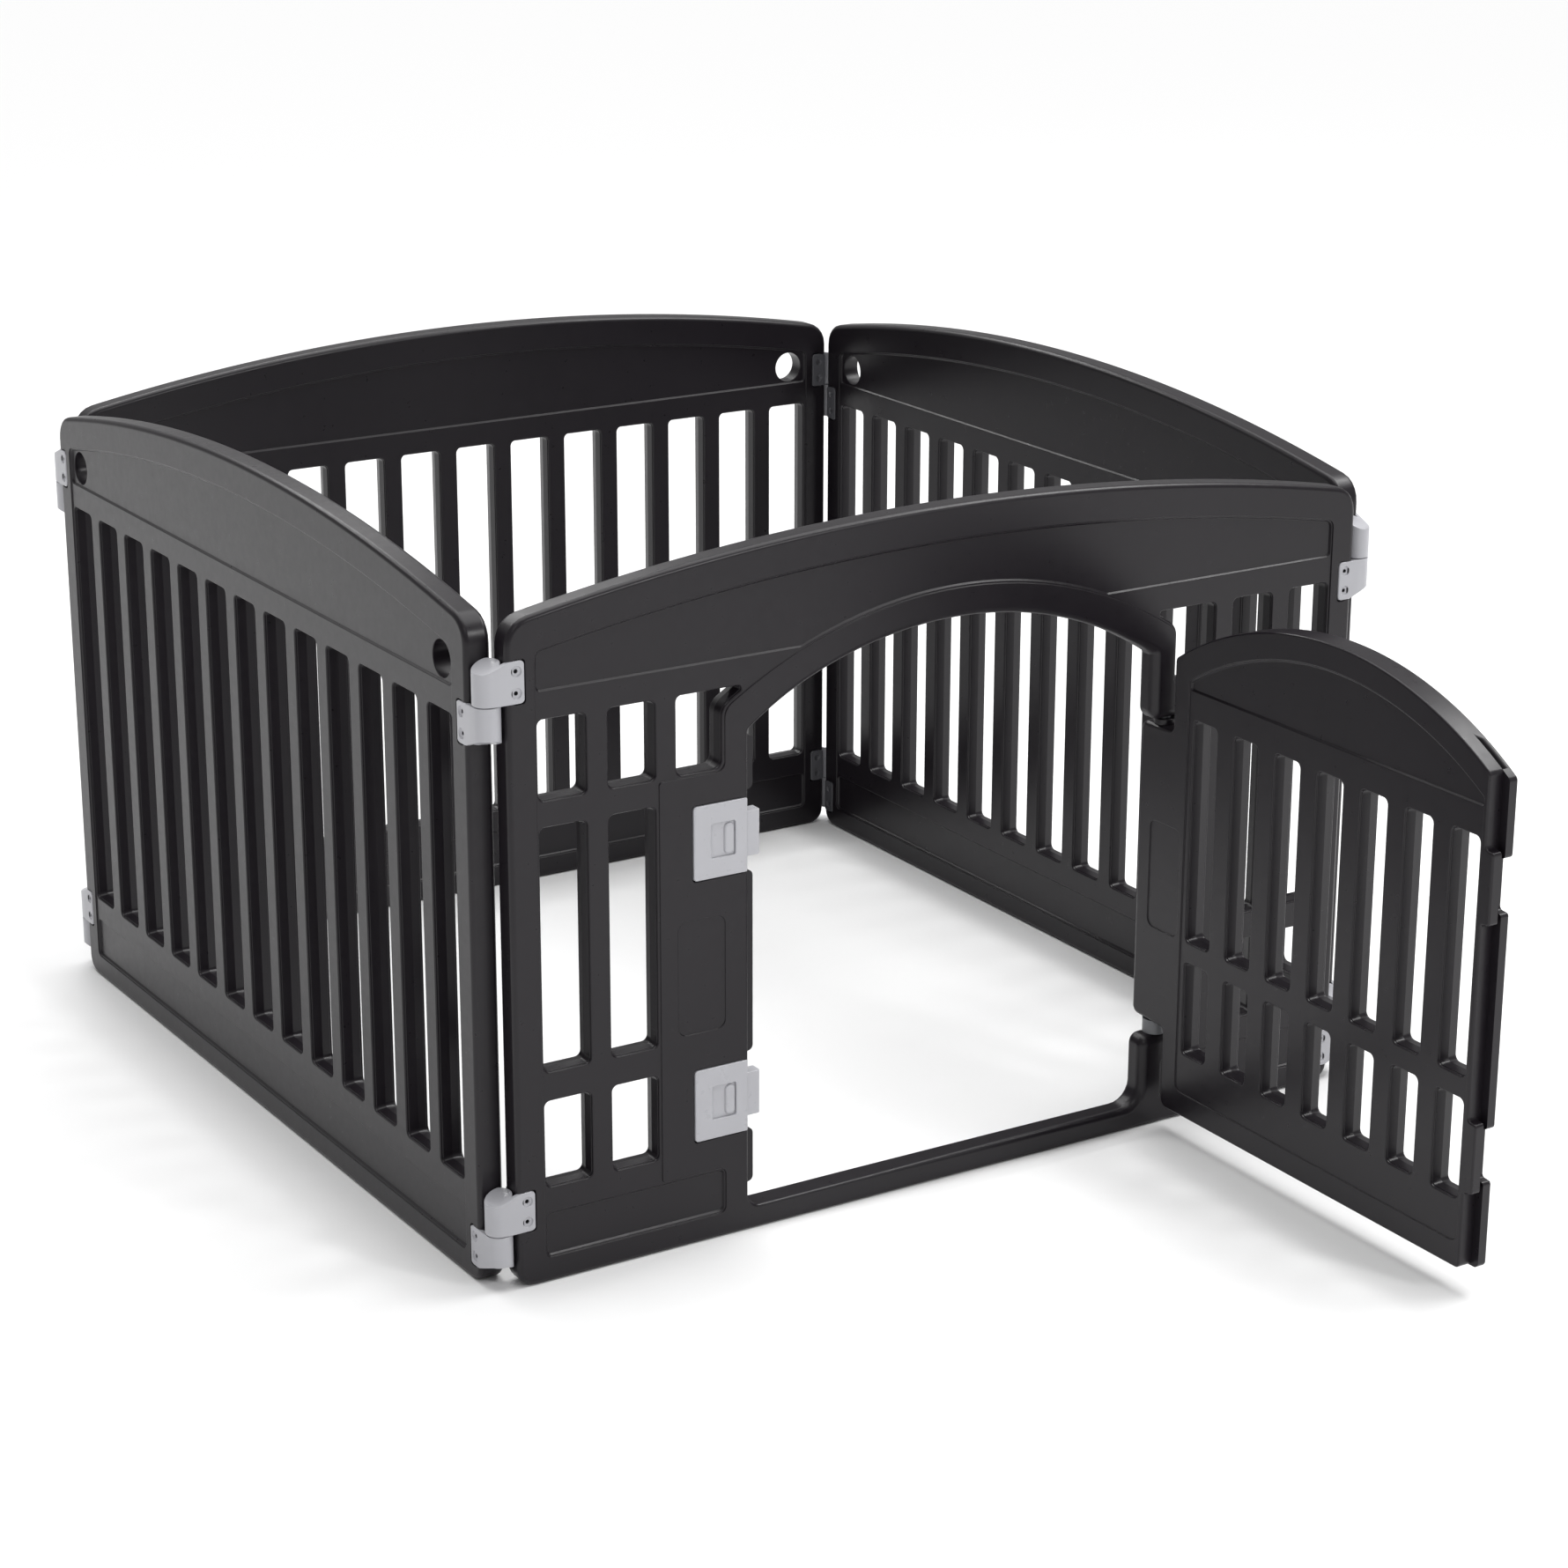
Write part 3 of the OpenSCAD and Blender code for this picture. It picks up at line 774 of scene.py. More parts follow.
def stepped(levels: Sequence[tuple[float, float]], breaks: Sequence[tuple[float, float]],
            ends: tuple[float, float]) -> list[Point]:
    """An upright side, drawn downwards, that jumps between two depths.

    Every side drawn over the same breaks has as many points, so that sides can be joined.

    Args:
        levels: (x under, x over) each break, from the lowest up.
        breaks: (z, rounding) of each break, from the lowest up.
        ends: Z of the side's lower and upper ends.

    Returns:
        The points, from the upper end to the lower one.
    """
    lean = 0.15
    angles = [math.radians(a) for a in range(0, 91, 18)]
    path = [(levels[0][0], ends[0])]
    for (x0, x1), (z, r) in zip(levels, breaks):
        bend = math.copysign(min(r, abs(x1 - x0) / 2), x1 - x0)
        path += [(x0 + bend * (1 - math.cos(a)), z - lean - r * (1 - math.sin(a)))
                 for a in angles]
        path += [(x1 - bend * (1 - math.sin(a)), z + lean + r * (1 - math.cos(a)))
                 for a in angles]
    path.append((levels[-1][1], ends[1]))
    return path[::-1]


@dataclass
class FrontFrame(PlainPanel):
    """The front panel: lattice side lights, a raised band over an arched doorway, and jambs."""

    side: Side = Side.FRONT
    rows: tuple[tuple[float, float], ...] = ((84.0, 160.0), (185.0, 394.0), (416.0, 483.6))
    jamb: float = 290.4
    ledge: float = 413.7
    jamb_foot: float = 63.0
    band_half: float = 229.0
    band_r: float = 412.0
    band_top: float = 535.5
    band_corner: float = 14.0
    door_half: float = 207.0
    door_top: float = 509.0
    door_r: float = 366.0
    sill: float = 20.8
    gap_end: float = 256.0
    gap: tuple[float, float] = (86.0, 384.0)
    stop: float = 10.0
    stop_depth: float = 9.5
    stop_breaks: tuple[tuple[float, float], ...] = (
        (40.0, 5.0), (89.5, 5.0), (159.5, 5.0), (320.5, 5.0), (390.5, 5.0), (437.0, 3.0))
    stop_ends: tuple[float, float] = (34.0, 441.0)
    band_foot_r: float = 8.0
    seam: float = 0.4
    light_gap: float = 2.0
    sill_r: tuple[float, float] = (12.0, 20.0)
    gap_r: tuple[float, float] = (5.0, 10.0)
    jamb_panel: tuple[float, float, float, float] = (-274.0, 190.0, -229.0, 290.0)

    @property
    def band_z(self) -> float:
        """Z of the centre of the band's arch."""
        return self.band_top - self.band_r

    @property
    def door_z(self) -> float:
        """Z of the centre of the doorway's arch."""
        return self.door_top - self.door_r

    def band_foot(self, out: float, bottom: float) -> list[Point]:
        """The left outer line of the band, from a ledge up to its arch.

        Args:
            out: How far outside the band the line runs.
            bottom: Z of the ledge that its foot curves into.

        Returns:
            The points, going up.
        """
        foot = self.band_foot_r
        edge, radius = -self.band_half - out, self.band_r + out
        corner = flipped(arch_corner(-edge, radius, self.band_z, self.band_corner))[::-1]
        return arc(edge - foot, bottom + foot, foot, -90, 0) + corner

    def field(self) -> list[Point]:
        """The field: the side lights and the header, round the jambs, the doorway and the band."""
        kick = self.jamb_foot
        low = bends([(-PANEL.field_half, 200, 0), (-PANEL.field_half, PANEL.field_bottom, 6),
                     (-self.band_half, PANEL.field_bottom, 6), (-self.band_half, kick, 6),
                     (-self.jamb, kick, 3), (-self.jamb, self.ledge, 3),
                     (-self.band_half - 20, self.ledge, 0)])
        left = low + self.band_foot(-self.seam, self.ledge)
        top = super().field()[2 * CORNER_POINTS:]
        span = arch_span(self.band_r - self.seam, self.band_z, left[-1][0], -left[-1][0], 40)
        return left + span + flipped(left) + top

    def header(self) -> list[Point]:
        """The header, whose lower edge follows the band over the doorway."""
        radius, fillet = self.band_r + PANEL.inset, 5.0
        rise = PANEL.header_bottom + fillet - self.band_z
        cx = math.sqrt((radius + fillet) ** 2 - rise**2)
        lean = math.degrees(math.atan2(rise, -cx))
        turn = arc(-cx, PANEL.header_bottom + fillet, fillet, -90, lean - 180, 4)
        span = arch_span(radius, self.band_z, turn[-1][0], -turn[-1][0], 36)
        whole = super().header()
        return whole[:CORNER_POINTS] + turn + span + flipped(turn) + whole[CORNER_POINTS:]

    def light_tip(self) -> list[Point]:
        """The opening that is cut short by the band, left of the doorway's arch."""
        x = -PANEL.grille_half + 2 * PANEL.pitch
        low, high = self.rows[-1]
        fillet = 3.0
        radius = self.band_r + self.light_gap
        drop = high - fillet - self.band_z
        cx = -math.sqrt((radius + fillet) ** 2 - drop**2)
        lean = math.degrees(math.atan2(drop, cx))
        tip = arc(cx, high - fillet, fillet, lean - 180, 90)
        left = bends([(x + 60, high, 0), (x, high, PANEL.opening_r), (x, low, PANEL.opening_r),
                      (x + 30, low, 0)])
        foot = self.band_foot(self.light_gap, low)
        return left + foot + arch_span(radius, self.band_z, foot[-1][0], tip[0][0], 4) + tip

    def grille(self) -> list[list[Point]]:
        """The openings of both side lights."""
        starts = [-PANEL.grille_half + column * PANEL.pitch for column in (0, 1)]
        left = [box_outline(x, z0, x + PANEL.opening, z1, PANEL.opening_r)
                for x in starts for z0, z1 in self.rows]
        left.append(self.light_tip())
        return left + [flipped(path) for path in left]

    def doorway(self, stop: float) -> list[Point]:
        """The doorway with the gap for the door's pivot tab.

        Args:
            stop: How far the door stop stands out of the latch jamb.

        Returns:
            The outline, counter-clockwise.
        """
        deep, mouth = self.gap_r
        right = rounded([(-100, self.sill, 0), (self.door_half, self.sill, self.sill_r[1]),
                         (self.door_half, self.gap[0], mouth), (self.gap_end, self.gap[0], deep),
                         (self.gap_end, self.gap[1], deep), (self.door_half, self.gap[1], mouth),
                         (self.door_half, 430, 0)], closed=False)[:-1]
        corner = arch_corner(self.door_half, self.door_r, self.door_z, 3)
        span = arch_span(self.door_r, self.door_z, corner[-1][0], -corner[-1][0], 48)
        near, far = -self.door_half, -self.door_half + stop
        left = stepped([(near, far), (far, near)] * 3, self.stop_breaks, self.stop_ends)
        foot = bends([(near, 60, 0), (near, self.sill, self.sill_r[0]), (0, self.sill, 0)])
        return right + corner + span + flipped(corner)[:-1] + left + foot

    def doorway_edge(self, at: Point) -> Section:
        """The doorway's front edge, which is fuller round the pivot side and its sill corner."""
        arch = share_of(at[1], 445, 25)
        pivot = share_of(at[0], 165, 35)
        radius = 2.4 + max(3.2 * arch, 6.4 * pivot * pivot * (3 - 2 * pivot))
        return Section(-radius, 0).turn(radius, 0, -90, 5).down_to(-self.stop_depth)

    def doorway_back(self, at: Point) -> Section:
        """The doorway's back edge."""
        radius = 2.0 + 4.0 * share_of(at[0], 165, 35)
        floor = self.stop_depth - PANEL.thickness
        return Section(-radius, 0).turn(radius, 0, -90, 5).down_to(floor)

    def latch_recesses(self, face: int) -> list[tuple[list[Point], float]]:
        """The latch jamb's recesses in one face, and how deep each one is.

        In the outer face they hold the latch covers, with a plain one between them. In the
        inner face they are the eyes of the covers' screws.
        """
        mid = LATCH.edge - LATCH.width / 2
        if face > 0:
            return [(arc(mid, z + end * LATCH.screw_dz, LATCH.eye_r, 0, 348, 29), LATCH.eye_depth)
                    for z in LATCH.levels for end in (-1, 1)]
        half, gap = LATCH.height / 2, PANEL.leaf_gap
        return [(box_outline(*self.jamb_panel, PANEL.shallow_r), PANEL.shallow)] + [
            (box_outline(LATCH.edge - LATCH.width - gap, z - half - gap, LATCH.edge - LATCH.land,
                         z + half + gap, LATCH.recess_r), PANEL.sink) for z in LATCH.levels]

    def mesh(self) -> Mesh:
        """Moulds the front panel."""
        mesh = Mesh(thickness=PANEL.thickness)
        middle = -PANEL.thickness / 2
        kick = self.kick(-self.band_half - PANEL.inset)
        fronts = {-1: hole(self.doorway(0.0)), 1: hole(self.doorway(self.stop))}
        for side in (-1, 1):
            edge, _ = mesh.sweep(self.outline(), rim(PANEL.edge_r, 0, middle), side)
            high, low = mesh.sweep(hole(self.field()), crease(0, -PANEL.field_sink), side)
            section = self.doorway_edge if side < 0 else self.doorway_back
            doorway, _ = mesh.sweep(fronts[side], section, side)
            sunk = [(path, PANEL.sink) for path in self.leaf_recesses(side)]
            sunk += self.latch_recesses(side)
            recesses = [mesh.recess(hole(path), fine_step(depth), side) for path, depth in sunk]
            mesh.cap(edge, [high, doorway, *recesses], side)
            panels = [mesh.recess(hole(path), sloped_step(), side)
                      for path in (self.header(), kick, flipped(kick))]
            grille = [mesh.sweep(hole(path), grille_wall(-PANEL.field_sink), side)[0]
                      for path in self.grille()]
            mesh.cap(low, [*panels, *grille], side)
        mesh.ledge(fronts[-1], fronts[1], self.stop_depth - PANEL.thickness / 2)
        return mesh

    def make(self, shop: Workshop) -> None:
        """Builds the front panel."""
        piece = self.mesh().build("front_frame_moulding", self.side.place)
        shop.place(piece, "front", "panel_plastic", shop.finishes.panel, "front_frame")


# ---------------------------------------------------------------- door


@dataclass
class Door:
    """The arched grille door, drawn closed and swung open about its pivot."""

    half: float = 203.0
    bottom: float = 25.0
    arch_r: float = 363.5
    arch_z: float = 143.0
    core: float = 195.0
    tongue: float = 204.5
    notch: float = 193.0
    lip_depth: float = 9.0
    tongue_depth: float = 14.0
    tongue_reach: float = 31.0
    notch_reach: float = 23.0
    free_ends: tuple[float, float] = (60.0, 420.0)
    tab_end: float = 250.0
    tab: tuple[float, float] = (99.5, 377.5)
    tab_panel: tuple[float, float, float, float] = (188.0, 190.0, 231.0, 290.0)
    boss_r: float = 10.0
    boss_h: float = 5.6
    boss_round: float = 1.2
    field_half: float = 186.7
    field_shift: float = -3.7
    field_bottom: float = 47.0
    field_margin: float = 22.0
    panel_z: float = 421.0
    grille: tuple[float, float] = (-187.5, 177.0)
    opening: float = 33.5
    opening_r: float = 5.5
    columns: int = 7
    rows: tuple[tuple[float, float], ...] = ((84.0, 171.5), (190.5, 395.0))

    @property
    def pivot_x(self) -> float:
        """X of the pivot, from the CAD's collar."""
        low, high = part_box("door_pivot_collar")
        return (low.x + high.x) / 2 / MM

    def outline(self, edge: float, turns: Sequence[tuple[float, float]]) -> list[Point]:
        """One layer of the door.

        Args:
            edge: X of the free edge at its two ends, as a distance from the middle.
            turns: (before, after) at each break of the free edge, as distances.

        Returns:
            The outline, counter-clockwise, with as many points for every layer.
        """
        lower = rounded([(-150, self.bottom, 0), (self.half, self.bottom, 8),
                         (self.half, self.tab[0], 4), (self.tab_end, self.tab[0], 8),
                         (self.tab_end, self.tab[1], 8), (self.half, self.tab[1], 4),
                         (self.half, 420, 0)], closed=False)[:-1]
        corner = arch_corner(self.half, self.arch_r, self.arch_z, 5)
        far = flipped(arch_corner(edge, self.arch_r, self.arch_z, 5))
        span = arch_span(self.arch_r, self.arch_z, corner[-1][0], -165, 44)
        rest = arch_span(self.arch_r, self.arch_z, span[-1][0], far[0][0], 6)
        free = stepped([(-a, -b) for a, b in turns], [(z, 3.0) for z in self.breaks],
                       self.free_ends)
        foot = bends([(-edge, 50, 0), (-edge, self.bottom, 5), (-150, self.bottom, 0)])
        return lower + corner + span + rest + far + free + foot

    @property
    def breaks(self) -> list[float]:
        """Z of every jump of the free edge, from the lowest up."""
        return [z + s for z in LATCH.levels
                for s in (-self.tongue_reach, -self.notch_reach, self.notch_reach,
                          self.tongue_reach)]

    def layer(self, edge: float, at_tongue: float, at_notch: float) -> list[Point]:
        """A layer whose free edge changes at the tongues and at the notches."""
        turns = [(edge, at_tongue), (at_tongue, at_notch), (at_notch, at_tongue),
                 (at_tongue, edge)]
        return self.outline(edge, turns * 2)

    def field(self) -> list[Point]:
        """The sunk field."""
        return shifted(arched(self.field_half, self.field_bottom,
                              self.arch_r - self.field_margin, self.arch_z, 3, 8, 40),
                       self.field_shift)

    def lens(self) -> list[Point]:
        """The arched panel over the grille."""
        inset = PANEL.inset
        return shifted(arched(self.field_half - inset, self.panel_z,
                              self.arch_r - self.field_margin - inset, self.arch_z, 2, 2, 40),
                       self.field_shift)

    def outer_edge(self, at: Point) -> Section:
        """The rounding of an outer edge, fuller on the pivot tab."""
        radius = 1.8 + 3.2 * share_of(at[0], self.half + 2, 14)
        return Section(-radius, 0).turn(radius, 0, -90, 5)

    def mesh(self) -> Mesh:
        """Moulds the door, closed."""
        mesh = Mesh(thickness=PANEL.thickness)
        lip = self.layer(self.half, self.half, self.notch)
        core = self.layer(self.core, self.core, self.notch)
        back = self.layer(self.core, self.tongue, self.tongue)
        pitch = (self.grille[1] - self.grille[0] - self.opening) / (self.columns - 1)
        starts = [self.grille[0] + i * pitch for i in range(self.columns)]
        openings = [box_outline(x, z0, x + self.opening, z1, self.opening_r)
                    for x in starts for z0, z1 in self.rows]
        floors = {-1: self.lip_depth, 1: PANEL.thickness - self.tongue_depth}
        for side, path in ((-1, lip), (1, back)):
            def edge_at(at: Point, floor: float = -floors[side]) -> Section:
                """The outer edge down to the layer's own floor."""
                return self.outer_edge(at).down_to(floor)

            edge, _ = mesh.sweep(path, edge_at, side)
            high, low = mesh.sweep(hole(self.field()), crease(0, -PANEL.field_sink), side)
            lens = mesh.recess(hole(self.lens()), sloped_step(), side)
            grille = [mesh.sweep(hole(p), grille_wall(-PANEL.field_sink), side)[0]
                      for p in openings]
            tab = box_outline(*self.tab_panel, PANEL.shallow_r)
            sunk = [mesh.recess(hole(tab), fine_step(PANEL.shallow), side)] if side > 0 else []
            mesh.cap(edge, [high, *sunk], side)
            mesh.cap(low, [lens, *grille], side)
        near = self.lip_depth - PANEL.thickness / 2
        far = self.tongue_depth - PANEL.thickness / 2
        mesh.ledge(lip, core, near)
        mesh.sweep(core, Section(0, -self.lip_depth).down_to(-self.tongue_depth), -1)
        mesh.ledge(core, back, far)
        return mesh

    def make(self, shop: Workshop) -> None:
        """Builds the door and swings it open as the CAD's door stands."""
        pivot = Matrix.Translation((self.pivot_x, 0, 0))
        door = self.mesh()
        boss = Mesh(upright=False, thickness=self.boss_h)
        ring, _ = boss.sweep(arc(0, 0, self.boss_r, 0, 348, 29),
                             rim(self.boss_round, 0, -self.boss_h), 1)
        boss.cap(ring, [], 1)
        door.take(boss, pivot @ Matrix.Translation((0, 0, self.tab[1] + self.boss_h / 2)))
        swing = pivot @ Matrix.Rotation(math.radians(90), 4, "Z") @ pivot.inverted()
        piece = door.build("door_moulding", swing)
        shop.place(piece, "door", "panel_plastic", shop.finishes.panel, "door")


# ---------------------------------------------------------------- hinges


@dataclass(frozen=True)
class HingeSizes:
    """Sizes of the corner hinges."""

    height: float = 35.0
    joint: float = 0.6
    leaf: float = 28.0
    barrel_r: float = 11.5
    proud: float = 0.5
    leaf_t: float = 4.0
    drop: float = 8.0
    ramp: tuple[float, float] = (8.5, -9.5)
    ramp_way: tuple[float, float] = (0.9, 0.42)
    corner_r: float = 4.0
    screw_x: float = 20.8
    screw_dz: float = 9.0
    dimple_r: float = 4.6
    dimple_depth: float = 3.4
    core_r: float = 1.8
    face: tuple[float, float] = (14.0, 26.0)
    edge_r: tuple[float, float] = (0.7, 1.0)
    plate_w: float = 16.0
    plate_eye_r: float = 3.4
    plate_eye_depth: float = 2.4

    @property
    def plate_end(self) -> float:
        """Distance from the hinge axis to the far end of a backing plate."""
        return self.screw_x + self.plate_w / 2


HINGE = HingeSizes()


def dimple(level: float, outer: float, core: float, depth: float) -> Section:
    """A round screw sink with a hollow floor and a straight core."""
    section = Section(-0.35, level).turn(0.35, 0, -62, 3).run(0.9, -62).turn(0.7, -62, 0, 3)
    flat = outer - core - section.at.x - 0.3
    return section.run(flat, 0).turn(0.3, 0, -90, 2).down_to(level - depth)


@dataclass
class Hinges:
    """Everything at the ends of one panel: leaves with barrels, backing plates and screws."""

    side: Side

    def half_mesh(self) -> Mesh:
        """One hinge half about its own axis, its leaf along +X on the outer face, joint at Z 0."""
        size = HINGE
        front = -size.barrel_r - size.proud
        back = front + size.leaf_t
        body = Mesh(upright=False, thickness=size.height)
        wrap = math.degrees(math.asin(-(back + 0.5) / size.barrel_r))
        barrel = arc(0, 0, size.barrel_r, -wrap, 262, 40)
        flare = [(x, front + size.proud * (1 - min(x / 8, 1)) ** 2) for x in range(1, 14)]
        face = [(x, front) for x in range(int(size.face[0]), int(size.face[1]) + 1, 2)]
        tip = rounded([(size.face[1], front, 0), (size.leaf, front, 1.2), (size.leaf, back, 1.2),
                       (size.face[1], back, 0)], closed=False)[1:]
        plan = barrel + flare + face + tip + [(24.0, back), (12.0, back)]
        ends = {}
        for side, radius in zip((-1, 1), size.edge_r):
            section = Section(-radius, 0).turn(radius, 0, -90, 4)
            ring, ends[side] = body.sweep(plan, section, side)
            body.cap(ring, [], side)
        first = len(barrel) + len(flare)
        last = first + len(face) - 1
        outward = [Vector((*o, 0)).normalized() for o in out_of_material(plan)]
        for i in range(len(plan)):
            j = (i + 1) % len(plan)
            if not first <= i < last:
                body.face([ends[1][i], ends[1][j], ends[-1][j], ends[-1][i]],
                          [outward[i], outward[j], outward[j], outward[i]])
        body.upright, body.thickness = True, -2 * front
        eyes = []
        for dz in (-size.screw_dz, size.screw_dz):
            sink = dimple(0, size.dimple_r, size.core_r, size.dimple_depth)
            eyes.append(body.recess(arc(size.screw_x, dz, size.dimple_r, 360, 11.25, 31), sink, -1))
        body.cap(ends[1][first:last + 1] + ends[-1][first:last + 1][::-1], eyes, -1)

        def level(x: float, y: float, upper: bool) -> float:
            """How far the top, or the bottom, of the half lies under its full height."""
            along = x * size.ramp_way[0] + y * size.ramp_way[1]
            share = share_of(along, size.ramp[0], size.ramp[1] - size.ramp[0])
            near_end = min(max(x - size.leaf + size.corner_r, 0), size.corner_r)
            corner = size.corner_r - math.sqrt(size.corner_r**2 - near_end**2)
            return size.drop * share * upper + corner

        def move(p: Vector) -> Vector:
            """Lowers the top along the ramp and rounds the leaf's corners."""
            pull = level(p.x, p.y, p.z > 0) * abs(p.z) / (size.height / 2)
            return Vector((p.x, p.y, p.z + size.height / 2 - math.copysign(pull, p.z)))

        def tilt(p: Vector, n: Vector) -> Vector:
            """Leans a normal by the slope of the top or the bottom."""
            if abs(p.z) < size.height / 4:
                return n
            step, upper = 0.05, p.z > 0
            slope_x = (level(p.x + step, p.y, upper) - level(p.x - step, p.y, upper)) / step / 2
            slope_y = (level(p.x, p.y + step, upper) - level(p.x, p.y - step, upper)) / step / 2
            lean = abs(n.z)
            return Vector((n.x + min(max(slope_x, -2), 2) * lean,
                           n.y + slope_y * lean, n.z)).normalized()

        body.warp(move, tilt)
        return body

    def place_of(self, end: int, split: float) -> Matrix:
        """Where a half goes: upright above the joint at the left end, turned over at the right."""
        lift = Matrix.Translation((end * PANEL.axis, 0, split - end * HINGE.joint / 2))
        return lift if end < 0 else lift @ Matrix.Rotation(math.pi, 4, "Y")

    def plate_mesh(self) -> Mesh:
        """A backing plate about the middle of its two screws."""
        size = HINGE
        mesh = Mesh(thickness=PANEL.thickness)
        edge, _ = mesh.sweep(box_outline(-size.plate_w / 2, -size.height / 2, size.plate_w / 2,
                                         size.height / 2, 3.0),
                             rim(0.8, 0, -PANEL.sink), 1)
        eyes = []
        for dz in (-size.screw_dz, size.screw_dz):
            sink = dimple(0, size.plate_eye_r, size.core_r, size.plate_eye_depth)
            eyes.append(mesh.recess(arc(0, dz, size.plate_eye_r, 360, 11.25, 31), sink, 1))
        mesh.cap(edge, eyes, 1)
        return mesh

    def screw_mesh(self) -> Mesh:
        """A screw's head with its cross recess, facing -Y at the origin."""
        mesh = Mesh(thickness=0.0)
        radius, arm, width = HINGE.core_r - 0.1, 1.3, 0.42
        head = arc(0, 0, radius, 0, 345, 23)
        quarter, corners = [(arm, -width), (arm, width), (width, width)], []
        for _ in range(4):
            corners += [(x, z, 0.1) for x, z in quarter]
            quarter = [(-z, x) for x, z in quarter]
        cross = rounded(corners, steps=2)
        edge, _ = mesh.sweep(head, Section(-0.3, 0).turn(0.3, 0, -90, 3).run(2.0, -90), -1)
        mesh.cap(edge, [mesh.recess(hole(cross), Section(0, 0).run(0.9, -88), -1)], -1)
        return mesh

    def make(self, shop: Workshop) -> None:
        """Builds the hinge parts of this panel."""
        body, finishes = self.side.body, shop.finishes
        plates, screws = Mesh(), Mesh()
        for level, split in zip(("bottom", "top"), PANEL.leaf_levels):
            for kind, end in (("pin", -1), ("socket", 1)):
                place = self.side.place @ self.place_of(end, split)
                node = f"{body}_{level}_{kind}_half"
                shop.place(self.half_mesh().build(f"{node}_moulding", place), body,
                           "hinge_plastic", finishes.hinge, node)
                mid = split - end * (HINGE.joint + HINGE.height) / 2
                spot = Matrix.Translation((end * (PANEL.axis - HINGE.screw_x), 0, mid))
                plates.take(self.plate_mesh(), spot)
                for dz in (-HINGE.screw_dz, HINGE.screw_dz):
                    sunk = -HINGE.barrel_r - HINGE.proud + 2.0
                    screws.take(self.screw_mesh(), spot @ Matrix.Translation((0, sunk, dz)))
        shop.place(plates.build(f"{body}_backing_plates_moulding", self.side.place), body,
                   "hinge_plastic", finishes.plate, f"{body}_backing_plates")
        shop.place(screws.build(f"{body}_screw_heads", self.side.place), body, "screw_steel",
                   finishes.screw, f"{body}_hinge_screws")
        shop.dress(f"{body}_hinge_pins", finishes.pin)


# ---------------------------------------------------------------- latches


@dataclass(frozen=True)
class LatchSizes:
    """Sizes of the two slide-bolt latches."""

    levels: tuple[float, float] = (124.5, 355.5)
    edge: float = -208.0
    width: float = 51.0
    height: float = 64.0
    front: float = -12.5
    back: float = -10.5
    window: tuple[float, float] = (-35.0, -11.4)
    window_h: float = 30.0
    window_r: float = 2.0
    screw_dz: float = 26.0
    eye_r: float = 3.7
    eye_depth: float = 3.4
    land: float = 2.4
    recess_r: float = 3.6
    bolt_tip: float = -194.5
    bolt_len: float = 50.0
    bolt_h: float = 39.0
    bolt_y: tuple[float, float] = (-10.3, 1.7)
    thumb: tuple[float, float] = (-229.6, -220.2)
    thumb_h: float = 28.6
    thumb_y: float = -12.4
    thumb_r: float = 4.1


LATCH = LatchSizes()


@dataclass
class Latch:
    """One latch: a cover with a finger window, and the bolt that slides behind it."""

    name: str
    level: float

    def cover(self) -> Mesh:
        """The cover plate."""
        size = LATCH
        mesh = Mesh(thickness=-2 * size.front)
        plate = rounded([(-size.width, -size.height / 2, 3.0), (0, -size.height / 2, 1.2),
                         (0, size.height / 2, 1.2), (-size.width, size.height / 2, 3.0)])
        window = box_outline(size.window[0], -size.window_h / 2, size.window[1],
                             size.window_h / 2, size.window_r)

        def lip(at: Point) -> Section:
            """The window's edge, with a long slope on its left."""
            slope = 50.0 if at[0] < size.window[0] + 1 else 4.0
            section = Section(-0.5, 0).turn(0.5, 0, slope - 90, 3)
            return section.down_to(size.front - size.back, slope - 90)

        edge, _ = mesh.sweep(plate, rim(1.0, 0, -3.4), -1)
        top, _ = mesh.sweep(hole(window), lip, -1)
        mesh.cap(edge, [top], -1)
        return mesh

    def bolt(self) -> Mesh:
        """The bolt with its thumb rib."""
        size = LATCH
        front, back = size.bolt_y
        body = Mesh(upright=False, thickness=size.bolt_h)
        tail = size.bolt_tip - size.bolt_len
        plan = rounded([(tail, front, 0.8), (size.bolt_tip - 1.7, front, 0.8),
                        (size.bolt_tip, front + 1.7, 0.8), (size.bolt_tip, back, 1.2),
                        (tail, back, 0.8)], steps=4)
        for side in (-1, 1):
            ring, _ = body.sweep(plan, rim(0.7, 0, -size.bolt_h / 2), side)
            body.cap(ring, [], side)
        rib = Mesh(thickness=-2 * size.thumb_y)
        outline = box_outline(size.thumb[0], -size.thumb_h / 2 + 1, size.thumb[1],
                              size.thumb_h / 2 - 1, size.thumb_r)
        section = Section(-2.0, 0).turn(2.0, 0, -80, 6).down_to(size.thumb_y - front - 0.2, -80)
        ring, _ = rib.sweep(outline, section, -1)
        rib.cap(ring, [], -1)
        body.take(rib, Matrix.Identity(4))
        return body

    def make(self, shop: Workshop) -> None:
        """Builds the cover and the bolt."""
        cover_at = Matrix.Translation((LATCH.edge, 0, self.level))
        shop.place(self.cover().build(f"latch_cover_{self.name}_moulding", cover_at), "front",
                   "latch_plastic", shop.finishes.latch, f"latch_cover_{self.name}")
        bolt_at = Matrix.Translation((0, 0, self.level))
        shop.place(self.bolt().build(f"latch_bolt_{self.name}_moulding", bolt_at),
                   f"bolt_{self.name}", "latch_plastic", shop.finishes.latch,
                   f"latch_bolt_{self.name}")


